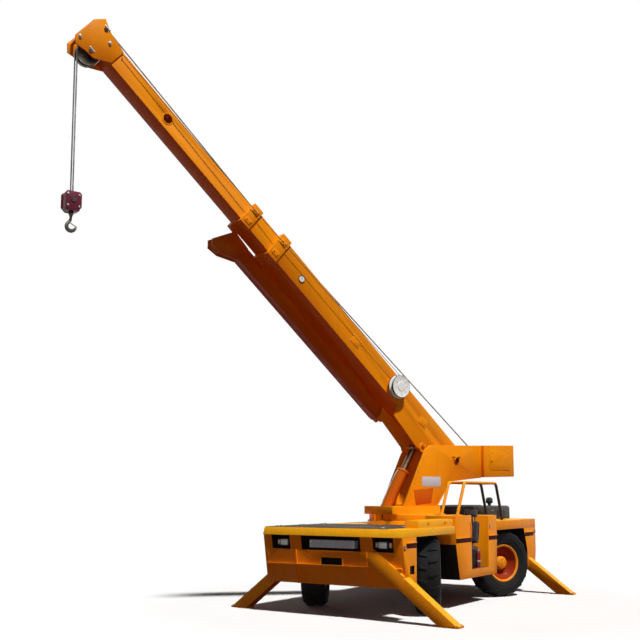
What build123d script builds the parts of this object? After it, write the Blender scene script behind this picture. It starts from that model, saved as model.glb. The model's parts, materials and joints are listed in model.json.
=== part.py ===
"""Carry-deck mobile crane: a low four-wheel-steer carrier with slanted outriggers, a slewing
turret, a three-part telescopic boom with a side-stowed jib, and a hook on two falls of rope.

Frame: millimetres, +X towards the carrier's front, +Y to its left, +Z up. The origin is on the
ground under the slewing axis. The boom is modelled as it stands, slewed and raised.
"""

import os
from math import cos, radians, sin

from build123d import *

os.makedirs("parts", exist_ok=True)

# ---------------------------------------------------------------- carrier sizes
HALF_WIDTH = 1220.0            # half of the 8 ft overall width
FRONT_X = 2500.0               # front edge of the deck
REAR_X = -2900.0               # back of the carrier
DECK_TOP = 1310.0              # load deck above the ground
DECK_EDGE = 117.0              # depth of the deck's folded edge
LIP_SLOPE = 48.0               # the front edge leans back by this at its top
BELLY_Z = 468.0                # underside of the front box
FENDER_TOP = 1354.0            # rear fenders stand a little above the deck
FRONT_SETBACK = 143.0          # the front plate slopes back by this at its foot
PLATE = 12.0                   # wall of the fabricated boxes
FRAME_HALF = 430.0             # half width over the frame rails
RAIL_WIDTH = 90.0
RAIL_BOTTOM = 700.0

# ---------------------------------------------------------------- wheels
TYRE_R = 590.0
TYRE_WIDTH = 400.0
TYRE_SIDES = 36
TREAD_EDGE = 80.0              # width of each shoulder, from the flat tread to the wall
SHOULDER_DROP = 56.0           # radius lost over the shoulder
BEAD_DEEP = 45.0               # how far the wall draws in at the rim
BEAD_HIGH = 70.0
LUG_HIGH = 24.0
LUG_WIDE = 44.0
LUG_GAP = 12.0                 # from the tread's middle to each row of lugs
LUG_LEAN = 10.0
RIM_R = 325.0
KINGPIN_Y = 810.0
WHEEL_OFFSET = 180.0           # from the kingpin out to the wheel's middle plane
FRONT_AXLE_X = 1300.0
REAR_AXLE_X = -1720.0
STEER = 28.0                   # full lock, as it is parked
HUB_R = 110.0
DIFF_R = 190.0                 # housing in the middle of each axle
KINGPIN_R = 60.0
AXLE_HALF_HEIGHT = 90.0
RUN_GAP = 0.3                  # clearance at faces that slide past each other

# ---------------------------------------------------------------- outriggers
LEG_SIZE = 180.0
LEG_SLOPE = 37.5               # degrees below the horizontal
LEG_CLEAR = 0.5                # between a leg and its housing, all round
LEG_FOOT_Y = 1860.0            # middle of a foot
FOOT_THICK = 30.0
FOOT_LENGTH = 330.0
LEG_INSIDE = 250.0             # length still in the housing when it is out
LEG_TRAVEL = 560.0

# ---------------------------------------------------------------- turret
SLEW = -20.0                   # where the turret stands, from straight ahead
RING_R = 700.0
RING_TOP = 1370.0
DISC_R = 655.0
DISC_TOP = 1480.0
SLEW_GAP = 0.3
BASE_TOP = 1615.0
BASE_HALF = 360.0
BASE_FRONT = 660.0
BASE_REAR = -440.0
CHEEK_OUT = 300.0              # outside of the turret's side plates
CHEEK_THICK = 38.0
PIN_X, PIN_Z = -903.0, 2410.0  # boom pivot in the turret's frame
PIN_R = 45.0
TAIL_FRONT, TAIL_REAR = -1530.0, -2330.0
TAIL_BOTTOM, TAIL_TOP = 2140.0, 2715.0
TAIL_HALF = 370.0

# ---------------------------------------------------------------- boom
LUFF = 40.2                    # boom above the horizontal
AXIS_H = 59.0                  # boom's centre line above the pivot
BASE_SEC = (400.0, 400.0)      # width and height of each section
MID_SEC = (342.0, 342.0)
FLY_SEC = (288.0, 290.0)
WALL = 9.0
HEEL_L, BASE_END = -210.0, 5030.0
MID_START, MID_END = 790.0, 5680.0
FLY_START, FLY_END = 4080.0, 8640.0
COLLAR = 200.0                 # length of the collar at a section's mouth
COLLAR_PROUD = 34.0
PAD_GAP = 0.5                  # wear pads to the section that slides in them
PAD_LENGTH = 120.0

# ---------------------------------------------------------------- lift cylinder
FOOT_PIN = (540.0, 1490.0)     # lower pin in the turret's frame
EYE_L, EYE_H = 700.0, -325.0   # upper pin in the boom's frame
CYL_R, ROD_R = 100.0, 55.0
CYL_LENGTH = 850.0
CYL_FOOT = 55.0                # solid foot of the barrel, from its pin
GLAND = 35.0
ROD_START = 480.0              # inner end of the rod, from the barrel's pin
PISTON = 25.0
BARREL_EYE_R, ROD_EYE_R = 70.0, 58.0
EYE_HALF = 56.0
LIFT_PIN_R = 38.0

# ---------------------------------------------------------------- hook and rope
SHEAVE_R = 135.0
HEAD_L, HEAD_H = FLY_END + 160, -215.0
FALL_SPACING = 84.0
ROPE_R = 11.0
HOOK_TOP = 5905.0              # top of the hook block as it hangs
BLOCK_SIZE = (230.0, 190.0, 270.0)


# ---------------------------------------------------------------- frames
FWD = Vector(cos(radians(SLEW)), sin(radians(SLEW)), 0)
LEFT = Vector(-sin(radians(SLEW)), cos(radians(SLEW)), 0)
UP = Vector(0, 0, 1)
ALONG = FWD * cos(radians(LUFF)) + UP * sin(radians(LUFF))
NORMAL = UP * cos(radians(LUFF)) - FWD * sin(radians(LUFF))
PIVOT = FWD * PIN_X + UP * PIN_Z


def turret_side(y=0.0):
    """Sketch plane of the turret's sides: local x forward, local y up, at y left of the middle."""
    return Plane(origin=LEFT * y, x_dir=FWD, z_dir=-LEFT)


def turret_level(z):
    return Plane(origin=UP * z, x_dir=FWD, z_dir=UP)


def boom_side(y=0.0):
    return Plane(origin=PIVOT + LEFT * y, x_dir=ALONG, z_dir=-LEFT)


def boom_cross(l, h=AXIS_H):
    """Plane across the boom at l from the pivot: local x left, local y along the boom's height."""
    return Plane(origin=PIVOT + ALONG * l + NORMAL * h, x_dir=LEFT, z_dir=ALONG)


def boom_point(l, h, y=0.0):
    return PIVOT + ALONG * l + NORMAL * h + LEFT * y


def carrier_side(y=0.0):
    """Sketch plane of the carrier's sides: local x forward, local y up."""
    return Plane(origin=(0, y, 0), x_dir=(1, 0, 0), z_dir=(0, -1, 0))


def save(item, name):
    item.label = name
    export_step(item, f"parts/{name}.step")


# ================================================================ carrier
# name, side, middle in x
OUTRIGGERS = (
    ("outrigger_front_left", 1, 2350.0),
    ("outrigger_front_right", -1, 2150.0),
    ("outrigger_rear_left", 1, -2570.0),
    ("outrigger_rear_right", -1, -2770.0),
)
BOX_BACK = 2040.0
REAR_BOX_FRONT = -2455.0


LEG_REACH = (LEG_FOOT_Y - HALF_WIDTH) / cos(radians(LEG_SLOPE))
TUNNEL = LEG_REACH + LEG_INSIDE + LEG_TRAVEL + 15


def leg_plane(side, x):
    """Across a leg at its foot: z runs down and out along the leg, local x is the carrier's +X."""
    out = Vector(0, side * cos(radians(LEG_SLOPE)), -sin(radians(LEG_SLOPE)))
    return Plane(origin=(x, side * LEG_FOOT_Y, FOOT_THICK), x_dir=(1, 0, 0), z_dir=out)


def main_frame():
    with BuildPart() as frame:
        length = BOX_BACK - REAR_BOX_FRONT
        middle = (BOX_BACK + REAR_BOX_FRONT) / 2
        height = DECK_TOP - DECK_EDGE - RAIL_BOTTOM
        rail_y = FRAME_HALF - RAIL_WIDTH / 2
        with BuildSketch(Plane.XY.offset(RAIL_BOTTOM)):
            with Locations((middle, rail_y), (middle, -rail_y)):
                Rectangle(length, RAIL_WIDTH)
            for x in (BOX_BACK - 60, 560.0, -560.0, REAR_BOX_FRONT + 60):
                with Locations((x, 0)):
                    Rectangle(120, 2 * rail_y)
        extrude(amount=height)
        with BuildSketch(Plane.XY.offset(RAIL_BOTTOM)):
            Rectangle(1000, 2 * rail_y)
        extrude(amount=PLATE)
    return frame.part


STATION_IN = 690.0             # inner side of the operator's station
STATION_FRONT, STATION_REAR = 715.0, -1000.0
DECK_RIM = 60.0
DECK_THICK = 25.0
TREAD_THICK = 6.0


def deck_plate():
    """Load deck: a plate with a folded edge, notched on the left for the operator's station."""
    with BuildPart() as deck:
        with BuildSketch(Plane.XY.offset(DECK_TOP)):
            with Locations(((FRONT_X + STATION_REAR) / 2, 0)):
                Rectangle(FRONT_X - STATION_REAR, 2 * HALF_WIDTH)
            with Locations(((STATION_FRONT + STATION_REAR) / 2, (STATION_IN + HALF_WIDTH) / 2)):
                Rectangle(
                    STATION_FRONT - STATION_REAR, HALF_WIDTH - STATION_IN, mode=Mode.SUBTRACT
                )
        extrude(amount=-DECK_EDGE)
        pocket_y = (FRAME_HALF + HALF_WIDTH - DECK_RIM) / 2
        with BuildSketch(Plane.XY.offset(DECK_TOP - DECK_EDGE)):
            with Locations(((BOX_BACK + STATION_FRONT) / 2, pocket_y)):
                with Locations((0, 0), (0, -2 * pocket_y)):
                    Rectangle(
                        BOX_BACK - STATION_FRONT - 2 * DECK_RIM,
                        HALF_WIDTH - DECK_RIM - FRAME_HALF,
                    )
        extrude(amount=DECK_EDGE - DECK_THICK, mode=Mode.SUBTRACT)
        with BuildSketch(carrier_side()):
            Polygon(
                (FRONT_X - LIP_SLOPE, DECK_TOP),
                (FRONT_X, DECK_TOP - DECK_EDGE),
                (FRONT_X, DECK_TOP),
                align=None,
            )
        extrude(amount=HALF_WIDTH, both=True, mode=Mode.SUBTRACT)
    return deck.part


TREAD_REAR, TREAD_RIM = 770.0, 12.0
CURB_WIDTH = 240.0
CURB_Y = HALF_WIDTH - 20 - CURB_WIDTH / 2


def deck_tread():
    """Non-slip plate on the load deck, in front of the turret and beside the curb."""
    right, left = TREAD_RIM - HALF_WIDTH, CURB_Y - CURB_WIDTH / 2 - TREAD_RIM
    front = FRONT_X - LIP_SLOPE - TREAD_RIM
    with BuildPart() as plate:
        with BuildSketch(Plane.XY.offset(DECK_TOP)):
            with Locations(((front + TREAD_REAR) / 2, (right + left) / 2)):
                Rectangle(front - TREAD_REAR, left - right)
        extrude(amount=TREAD_THICK)
    return plate.part


LAMP_Y, LAMP_Z = 870.0, 1080.0
ROW_BOTTOM, ROW_TOP = 980.0, 1190.0
RECESS_DEPTH = 180.0
FRONT_INSET = 22.0             # top of the front plate behind the deck's edge
RIB_Y, RIB_THICK, RIB_PROUD = 620.0, 20.0, 25.0
SIDE_POCKET = 30.0


def front_box():
    """Front of the carrier: sloped plate with lamp recesses, a tow slot and two leg tunnels."""
    top = DECK_TOP - DECK_EDGE
    with BuildPart() as box:
        with BuildSketch(carrier_side()):
            Polygon(
                (FRONT_X - FRONT_INSET, top),
                (FRONT_X - FRONT_SETBACK, BELLY_Z),
                (BOX_BACK, BELLY_Z),
                (BOX_BACK, top),
                align=None,
            )
        extrude(amount=HALF_WIDTH, both=True)
        with BuildSketch(Plane(origin=(FRONT_X, 0, 0), x_dir=(0, 1, 0), z_dir=(1, 0, 0))):
            # middle in y, half width
            for y, half in ((0.0, 520.0), (900.0, 170.0), (-900.0, 170.0)):
                with Locations((y, (ROW_BOTTOM + ROW_TOP) / 2)):
                    Rectangle(2 * half, ROW_TOP - ROW_BOTTOM)
        extrude(amount=-RECESS_DEPTH, mode=Mode.SUBTRACT)
        with BuildSketch(Plane(origin=(FRONT_X, 0, 0), x_dir=(0, 1, 0), z_dir=(1, 0, 0))):
            with Locations((0, 820.0)):
                Rectangle(370, 110)
        extrude(amount=-RECESS_DEPTH, mode=Mode.SUBTRACT)
        with BuildSketch(carrier_side()):
            Polygon(
                (FRONT_X - 60, 765.0),
                (FRONT_X - 60, 738.0),
                (FRONT_X - 130, 738.0),
                (FRONT_X - 130, 765.0),
                align=None,
            )
        extrude(amount=HALF_WIDTH - 40, both=True)
        lean = (FRONT_SETBACK - FRONT_INSET) / (top - BELLY_Z)
        rib_top = FRONT_X - FRONT_INSET - lean * (top - ROW_BOTTOM)
        for y in (RIB_Y, -RIB_Y):
            with BuildSketch(carrier_side(y)):
                Polygon(
                    (rib_top - PLATE, ROW_BOTTOM),
                    (rib_top + RIB_PROUD, ROW_BOTTOM),
                    (FRONT_X - FRONT_SETBACK + RIB_PROUD, BELLY_Z),
                    (FRONT_X - FRONT_SETBACK - PLATE, BELLY_Z),
                    align=None,
                )
            extrude(amount=RIB_THICK / 2, both=True)
        with BuildSketch(carrier_side(HALF_WIDTH)):
            with Locations((2180.0, 730.0)):
                Rectangle(140, 120)
        extrude(amount=SIDE_POCKET, mode=Mode.SUBTRACT)
        bore = LEG_SIZE + 2 * LEG_CLEAR
        for _, side, x in OUTRIGGERS[:2]:
            with BuildSketch(leg_plane(side, x).offset(-TUNNEL)):
                Rectangle(bore, bore + 2 * PLATE)
            extrude(amount=TUNNEL - LEG_REACH - 110)
        for _, side, x in OUTRIGGERS[:2]:
            with BuildSketch(leg_plane(side, x).offset(-TUNNEL)):
                Rectangle(bore, bore)
            extrude(amount=TUNNEL, mode=Mode.SUBTRACT)
    return box.part


def front_plate():
    """Blank light bar on short stand-offs at the back of the middle recess."""
    back = FRONT_X - RECESS_DEPTH
    with BuildPart() as bar:
        with BuildSketch(Plane(origin=(back, 0, 0), x_dir=(0, 1, 0), z_dir=(1, 0, 0))):
            with Locations((0, 1072.0)):
                Rectangle(800, 115)
        extrude(amount=90)
        fillet(bar.edges().filter_by(Axis.X), radius=12)
    return bar.part


def headlamps():
    back = FRONT_X - RECESS_DEPTH
    with BuildPart() as lamps:
        with BuildSketch(Plane(origin=(back, 0, 0), x_dir=(0, 1, 0), z_dir=(1, 0, 0))):
            with Locations((LAMP_Y, LAMP_Z), (-LAMP_Y, LAMP_Z)):
                Rectangle(160, 115)
        extrude(amount=110)
        fillet(lamps.edges().filter_by(Axis.X), radius=18)
    return lamps.part


def marker_lamps():
    """Small red lamps on the carrier's sides, one at each corner."""
    with BuildPart() as lamps:
        for side in (1, -1):
            for x, z in ((2400.0, 1050.0), (-2850.0, 1120.0)):
                with BuildSketch(Plane(origin=(x, side * HALF_WIDTH, z), x_dir=(1, 0, 0),
                                       z_dir=(0, side, 0))):
                    RectangleRounded(70, 45, 10)
                extrude(amount=16)
    return lamps.part


def deck_curb():
    """Low box along the left side of the load deck."""
    with BuildPart() as curb:
        with BuildSketch(Plane.XY.offset(DECK_TOP)):
            with Locations((1320.0, CURB_Y)):
                Rectangle(1180, CURB_WIDTH)
        extrude(amount=110)
        fillet(curb.edges().filter_by(Axis.Z), radius=25)
    return curb.part


HOOD_HALF = 760.0
HOOD_FRONT, HOOD_REAR = -1080.0, -2780.0
HOOD_TOP = 1600.0


FENDER_IN = HOOD_HALF - 330    # inner wall of a fender, beside the engine


def rear_fenders():
    """Two hollow fenders over the rear wheels, joined in front of the engine."""
    shelf = DECK_TOP - DECK_EDGE
    length = STATION_REAR - REAR_X - 2 * RUN_GAP
    with BuildPart() as fenders:
        with BuildSketch(Plane.XY.offset(shelf)):
            with Locations(((STATION_REAR + REAR_X) / 2, 0)):
                Rectangle(length, 2 * HALF_WIDTH)
            with Locations(((HOOD_FRONT - PLATE + REAR_X - RUN_GAP) / 2, 0)):
                Rectangle(HOOD_FRONT - PLATE - REAR_X + RUN_GAP, 2 * FENDER_IN, mode=Mode.SUBTRACT)
        extrude(amount=FENDER_TOP - shelf)
        arch_y = (FENDER_IN + 30 + HALF_WIDTH - PLATE) / 2
        with BuildSketch(Plane.XY.offset(shelf)):
            with Locations((REAR_AXLE_X + 30, arch_y), (REAR_AXLE_X + 30, -arch_y)):
                Rectangle(1240, 2 * (HALF_WIDTH - PLATE - arch_y))
        extrude(amount=FENDER_TOP - PLATE - shelf, mode=Mode.SUBTRACT)
    return fenders.part


COLUMN_TOP = 610.0             # length of a rear column under the shelf
COLUMN_FOOT = 450.0            # and below the break in its front edge
COLUMN_BREAK = 800.0


def rear_body():
    """Rear columns round the leg tunnels, and the panel between them below the grille."""
    shelf = DECK_TOP - DECK_EDGE
    with BuildPart() as body:
        with BuildSketch(carrier_side()):
            Polygon(
                (REAR_X + COLUMN_TOP, shelf),
                (REAR_X + COLUMN_FOOT, COLUMN_BREAK),
                (REAR_X + COLUMN_FOOT, BELLY_Z),
                (REAR_X + 60, BELLY_Z),
                (REAR_X, COLUMN_BREAK - 40),
                (REAR_X, shelf),
                align=None,
            )
        extrude(amount=HALF_WIDTH, both=True)
        with BuildSketch(Plane.XY.offset(BELLY_Z)):
            with Locations((REAR_BOX_FRONT + 150, 0)):
                Rectangle(300, 2 * FRAME_HALF)
        extrude(amount=shelf - BELLY_Z, mode=Mode.SUBTRACT)
        with BuildSketch(Plane.XY.offset(shelf)):
            with Locations(((HOOD_REAR + PLATE + REAR_X) / 2, 0)):
                Rectangle(HOOD_REAR + PLATE - REAR_X, 2 * FENDER_IN)
        extrude(amount=FENDER_TOP - shelf)
        for _, side, x in OUTRIGGERS[2:]:
            with BuildSketch(leg_plane(side, x).offset(-TUNNEL)):
                Rectangle(LEG_SIZE + 2 * LEG_CLEAR, LEG_SIZE + 2 * LEG_CLEAR)
            extrude(amount=TUNNEL, mode=Mode.SUBTRACT)
    return body.part


def engine_hood():
    """Hollow hood over the engine, open below."""
    with BuildPart() as hood:
        with BuildSketch(Plane.XY.offset(FENDER_TOP)):
            with Locations(((HOOD_FRONT + HOOD_REAR) / 2, 0)):
                Rectangle(HOOD_FRONT - HOOD_REAR, 2 * HOOD_HALF)
        extrude(amount=HOOD_TOP - FENDER_TOP)
        fillet(hood.edges().filter_by(Axis.X).group_by(Axis.Z)[-1], radius=60)
        with BuildSketch(Plane.XY.offset(FENDER_TOP)):
            with Locations(((HOOD_FRONT + HOOD_REAR) / 2, 0)):
                Rectangle(HOOD_FRONT - HOOD_REAR - 2 * PLATE, 2 * (HOOD_HALF - 70))
        extrude(amount=HOOD_TOP - FENDER_TOP - PLATE, mode=Mode.SUBTRACT)
    return hood.part


ENGINE_LENGTH = 900.0


def engine_block():
    with BuildPart() as engine:
        bottom = TYRE_R + DIFF_R + 10
        with BuildSketch(Plane.XY.offset(bottom)):
            with Locations((REAR_AXLE_X + 70, 0)):
                Rectangle(ENGINE_LENGTH, 2 * (FRAME_HALF - RAIL_WIDTH))
        extrude(amount=HOOD_TOP - 140 - bottom)
    return engine.part


def rear_grille():
    """Radiator grille on the back of the hood: a frame with upright bars."""
    with BuildPart() as grille:
        with BuildSketch(Plane(origin=(HOOD_REAR, 0, 0), x_dir=(0, -1, 0), z_dir=(-1, 0, 0))):
            with Locations((0, HOOD_TOP - 125)):
                Rectangle(900, 190)
                Rectangle(840, 130, mode=Mode.SUBTRACT)
            with Locations((0, HOOD_TOP - 125)):
                with GridLocations(70, 0, 12, 1):
                    Rectangle(22, 140)
        extrude(amount=25)
    return grille.part


TANK_BOTTOM = 520.0
TANK_X, TANK_LENGTH = -150.0, 1150.0


def side_tank():
    """Fluid tank hung from the deck on the right, between the wheels."""
    with BuildPart() as tank:
        with BuildSketch(Plane.XY.offset(TANK_BOTTOM)):
            with Locations((TANK_X, -(HALF_WIDTH + FRAME_HALF) / 2 - 5)):
                Rectangle(TANK_LENGTH, HALF_WIDTH - FRAME_HALF - 10)
        extrude(amount=DECK_TOP - DECK_EDGE - TANK_BOTTOM)
        fillet(tank.edges().filter_by(Axis.X).group_by(Axis.Z)[0], radius=60)
    return tank.part


STATION_FLOOR = 460.0
STATION_WALL = 30.0
STATION_MID = (STATION_IN + HALF_WIDTH) / 2
STATION_INSIDE = HALF_WIDTH - STATION_IN - 2 * STATION_WALL
COWL_TOP, COWL_REAR = 1470.0, 420.0
TUB_FRONT, TUB_TOE = 690.0, 555.0     # the front wall, above and below its break
TUB_BREAK = 1020.0
DOOR_FRONT, DOOR_REAR = 80.0, -620.0
DOOR_SILL = 600.0
HEADREST_WALL = 1455.0         # top of the block behind the seat


def station_tub():
    """Operator's station: hollow tub with a low doorway on the outer side."""
    out = HALF_WIDTH
    with BuildPart() as tub:
        with BuildSketch(carrier_side(out)):
            Polygon(
                (TUB_FRONT, COWL_TOP),
                (TUB_FRONT, TUB_BREAK),
                (TUB_TOE, STATION_FLOOR),
                (STATION_REAR + 40, STATION_FLOOR),
                (STATION_REAR + 10, TUB_BREAK),
                (STATION_REAR + 10, HEADREST_WALL),
                (DOOR_REAR, HEADREST_WALL),
                (DOOR_REAR, COWL_TOP),
                align=None,
            )
        extrude(amount=out - STATION_IN)
        with BuildSketch(carrier_side(out - STATION_WALL)):
            Polygon(
                (COWL_REAR, COWL_TOP + 130),
                (COWL_REAR, COWL_TOP - STATION_WALL),
                (TUB_FRONT - STATION_WALL, COWL_TOP - STATION_WALL),
                (TUB_FRONT - STATION_WALL, TUB_BREAK),
                (TUB_TOE - STATION_WALL, STATION_FLOOR + STATION_WALL),
                (DOOR_REAR, STATION_FLOOR + STATION_WALL),
                (DOOR_REAR, COWL_TOP + 130),
                align=None,
            )
        extrude(amount=out - STATION_IN - 2 * STATION_WALL, mode=Mode.SUBTRACT)
        with BuildSketch(carrier_side(out + 20)):
            Polygon(
                (DOOR_FRONT, COWL_TOP + 130),
                (DOOR_FRONT, DOOR_SILL),
                (DOOR_REAR, DOOR_SILL),
                (DOOR_REAR, COWL_TOP + 130),
                align=None,
            )
        extrude(amount=STATION_WALL + 60, mode=Mode.SUBTRACT)
    return tub.part


GUARD_TUBE = 25.0
GUARD_IN, GUARD_OUT = STATION_IN + 190, HALF_WIDTH - 60
GUARD_Z = 2005.0


def overhead_guard():
    """Bent tube guard over the operator: two hoops joined by cross tubes."""
    with BuildPart() as guard:
        for y in (GUARD_IN, GUARD_OUT):
            with BuildLine() as hoop:
                FilletPolyline(
                    (527.0, y, COWL_TOP - 60),
                    (200.0, y, GUARD_Z),
                    (-1130.0, y, GUARD_Z),
                    (-1415.0, y, FENDER_TOP - 40),
                    radius=110,
                )
            with BuildSketch(Plane(origin=hoop.line @ 0, z_dir=hoop.line % 0)):
                Circle(GUARD_TUBE)
            sweep()
        for x in (80.0, -450.0, -1010.0):
            with BuildSketch(Plane(origin=(x, GUARD_IN, GUARD_Z), z_dir=(0, 1, 0))):
                Circle(GUARD_TUBE - 2)
            extrude(amount=GUARD_OUT - GUARD_IN)
        for x, foot in ((527.0, COWL_TOP), (-1415.0, FENDER_TOP)):
            with BuildSketch(Plane.XY.offset(foot)):
                with Locations((x, (GUARD_IN + GUARD_OUT) / 2)):
                    Rectangle(300, 2 * GUARD_OUT - 2 * GUARD_IN)
            extrude(amount=-200, mode=Mode.SUBTRACT)
    return guard.part


BOTTLE_R = 42.0
BOTTLE_X, BOTTLE_Y = -350.0, HALF_WIDTH - 80
SEAT_OUT = BOTTLE_Y - BOTTLE_R - 8


def seat():
    with BuildPart() as chair:
        with BuildSketch(carrier_side(SEAT_OUT)):
            Polygon(
                (-160.0, STATION_FLOOR + STATION_WALL),
                (-160.0, 960.0),
                (-480.0, 940.0),
                (-590.0, 1560.0),
                (-618.0, 1560.0),
                (-618.0, STATION_FLOOR + STATION_WALL),
                align=None,
            )
        extrude(amount=SEAT_OUT - STATION_IN - STATION_WALL - 25)
    return chair.part


def controls():
    """Steering column with its wheel, on the dash box in front of the operator."""
    wheel_r = STATION_INSIDE / 2 - 50
    column = Plane(origin=(430, STATION_MID, 1180), z_dir=(-0.5, 0, 1))
    with BuildPart() as set_:
        with BuildSketch(column):
            Circle(28)
        extrude(amount=170)
        with BuildSketch(column.offset(170)):
            Circle(wheel_r)
            Circle(wheel_r - 25, mode=Mode.SUBTRACT)
            Rectangle(2 * wheel_r - 30, 28)
        extrude(amount=24)
        with BuildSketch(Plane.XY.offset(STATION_FLOOR + STATION_WALL)):
            with Locations((430.0, STATION_MID)):
                Rectangle(150, STATION_INSIDE - 90)
        extrude(amount=770)
    return set_.part


def fire_bottle():
    """Bottle standing on the station's floor beside the seat."""
    floor, height = STATION_FLOOR + STATION_WALL, 390.0
    with BuildPart() as bottle:
        with BuildSketch(Plane.XY.offset(floor)):
            with Locations((BOTTLE_X, BOTTLE_Y)):
                Circle(BOTTLE_R)
        extrude(amount=height)
        fillet(bottle.edges().group_by(Axis.Z)[-1], radius=25)
        with BuildSketch(Plane.XY.offset(floor + height)):
            with Locations((BOTTLE_X, BOTTLE_Y)):
                Circle(15)
        extrude(amount=50)
    return bottle.part


def turntable_ring():
    with BuildPart() as ring:
        with BuildSketch(Plane.XY.offset(DECK_TOP)):
            Circle(RING_R - 14)
            Circle(430, mode=Mode.SUBTRACT)
        extrude(amount=RING_TOP - DECK_TOP)
    return ring.part


def axle(x):
    """Rigid axle beam with a forked end for each kingpin, hung from the rails."""
    with BuildPart() as beam:
        with BuildSketch(Plane(origin=(x, 0, TYRE_R), x_dir=(1, 0, 0), z_dir=(0, 1, 0))):
            RectangleRounded(180, 2 * AXLE_HALF_HEIGHT, 30)
        extrude(amount=KINGPIN_Y - 170, both=True)
        with BuildSketch(Plane(origin=(x, 0, TYRE_R), x_dir=(1, 0, 0), z_dir=(0, 1, 0))):
            Circle(DIFF_R)
        extrude(amount=200, both=True)
        for side in (1, -1):
            for z in (TYRE_R + 105, TYRE_R - 135):
                with BuildSketch(Plane.XY.offset(z)):
                    with Locations((x, side * (KINGPIN_Y - 110))):
                        Rectangle(150, 240)
                    with Locations((x, side * KINGPIN_Y)):
                        Circle(78)
                extrude(amount=30)
            with BuildSketch(Plane.XY.offset(TYRE_R - 135)):
                with Locations((x, side * (KINGPIN_Y - 190))):
                    Rectangle(150, 80)
            extrude(amount=270)
            with BuildSketch(Plane.XY.offset(TYRE_R)):
                with Locations((x, side * (FRAME_HALF - RAIL_WIDTH / 2))):
                    Rectangle(160, RAIL_WIDTH)
            extrude(amount=RAIL_BOTTOM - TYRE_R)
    return beam.part


# name, axle, side, turn of the wheel as it stands
CORNERS = (
    ("front_left", FRONT_AXLE_X, 1, STEER),
    ("front_right", FRONT_AXLE_X, -1, STEER),
    ("rear_left", REAR_AXLE_X, 1, -STEER),
    ("rear_right", REAR_AXLE_X, -1, -STEER),
)


def wheel_plane(x, side, turn, out=0.0):
    """Across a wheel's axis, out millimetres outwards from its kingpin."""
    d = Vector(-sin(radians(turn)), cos(radians(turn)), 0) * side
    return Plane(
        origin=Vector(x, side * KINGPIN_Y, TYRE_R) + d * out, x_dir=(0, 0, 1), z_dir=d
    )


def knuckle(x, side, turn):
    """Kingpin block between the axle's forks, with the stub that the wheel turns on."""
    with BuildPart() as block:
        with BuildSketch(Plane.XY.offset(TYRE_R - 105 + RUN_GAP)):
            with Locations((x, side * KINGPIN_Y)):
                Circle(KINGPIN_R + 12)
        extrude(amount=210 - 2 * RUN_GAP)
        with BuildSketch(wheel_plane(x, side, turn)):
            Circle(58)
        extrude(amount=100)
        with BuildSketch(wheel_plane(x, side, turn, 60)):
            Circle(95)
        extrude(amount=20)
    return block.part


def rim(x, side, turn):
    """Disc wheel: dished disc, rim bands and hub, turned in one piece."""
    back, front = -TYRE_WIDTH / 2 + 45, TYRE_WIDTH / 2 - 45
    with BuildPart() as wheel:
        with BuildSketch(wheel_plane(x, side, turn, WHEEL_OFFSET)):
            Circle(RIM_R)
        extrude(amount=front)
        with BuildSketch(wheel_plane(x, side, turn, WHEEL_OFFSET)):
            Circle(RIM_R)
            Circle(RIM_R - 28, mode=Mode.SUBTRACT)
        extrude(amount=back)
        with BuildSketch(wheel_plane(x, side, turn, WHEEL_OFFSET + front)):
            Circle(RIM_R - 28)
        extrude(amount=-95, taper=14, mode=Mode.SUBTRACT)
        with BuildSketch(wheel_plane(x, side, turn, WHEEL_OFFSET + front - 95)):
            Circle(HUB_R)
        extrude(amount=75, taper=6)
        with BuildSketch(wheel_plane(x, side, turn, 80 + RUN_GAP)):
            Circle(120)
        extrude(amount=WHEEL_OFFSET - 80 + 10)
        with BuildSketch(wheel_plane(x, side, turn, 80 + RUN_GAP)):
            Circle(58.05)
        extrude(amount=20.5, mode=Mode.SUBTRACT)
    return wheel.part


def tyre_lug(row):
    """Bar lug of one row, on the axle's local frame: axle along z and the lug out along x."""
    half = TYRE_WIDTH / 2
    tread = TYRE_R - LUG_HIGH
    lean = radians(LUG_LEAN)
    top = (TYRE_R**2 - LUG_WIDE**2) ** 0.5
    along = Plane(
        origin=(0, 0, row * half / 2), x_dir=(1, 0, 0), z_dir=(0, -row * cos(lean), -sin(lean))
    )
    with BuildPart() as lug:
        with BuildSketch(along):
            Polygon(
                (tread - LUG_HIGH, LUG_GAP - half / 2),
                (top, LUG_GAP - half / 2),
                (top, half / 2 - TREAD_EDGE),
                (tread - SHOULDER_DROP, half / 2),
                align=None,
            )
        extrude(amount=LUG_WIDE / 2, both=True)
    return lug.part


def tyre_casing():
    """Faceted casing with its axle along z: tread, shoulders, walls drawn in at the bead, bore."""
    half = TYRE_WIDTH / 2
    tread = TYRE_R - LUG_HIGH
    with BuildPart() as ring:
        for row in (1, -1):
            # distance from the middle and radius, from the tread out to the wall
            for near, far in (
                ((0, tread), (half - TREAD_EDGE, tread)),
                ((half - TREAD_EDGE, tread), (half, tread - SHOULDER_DROP)),
            ):
                for out, radius in (near, far):
                    with BuildSketch(Plane.XY.offset(row * out)):
                        RegularPolygon(radius, TYRE_SIDES, major_radius=False)
                loft(ruled=True)
        for row in (1, -1):
            for out, radius in ((half - BEAD_DEEP, RIM_R), (half, RIM_R + BEAD_HIGH)):
                with BuildSketch(Plane.XY.offset(row * out)):
                    RegularPolygon(radius, TYRE_SIDES, major_radius=False)
            loft(ruled=True, mode=Mode.SUBTRACT)
        with BuildSketch(Plane.XY.offset(-half)):
            RegularPolygon(RIM_R, TYRE_SIDES, major_radius=False)
        extrude(amount=TYRE_WIDTH, mode=Mode.SUBTRACT)
    return ring.part


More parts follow.
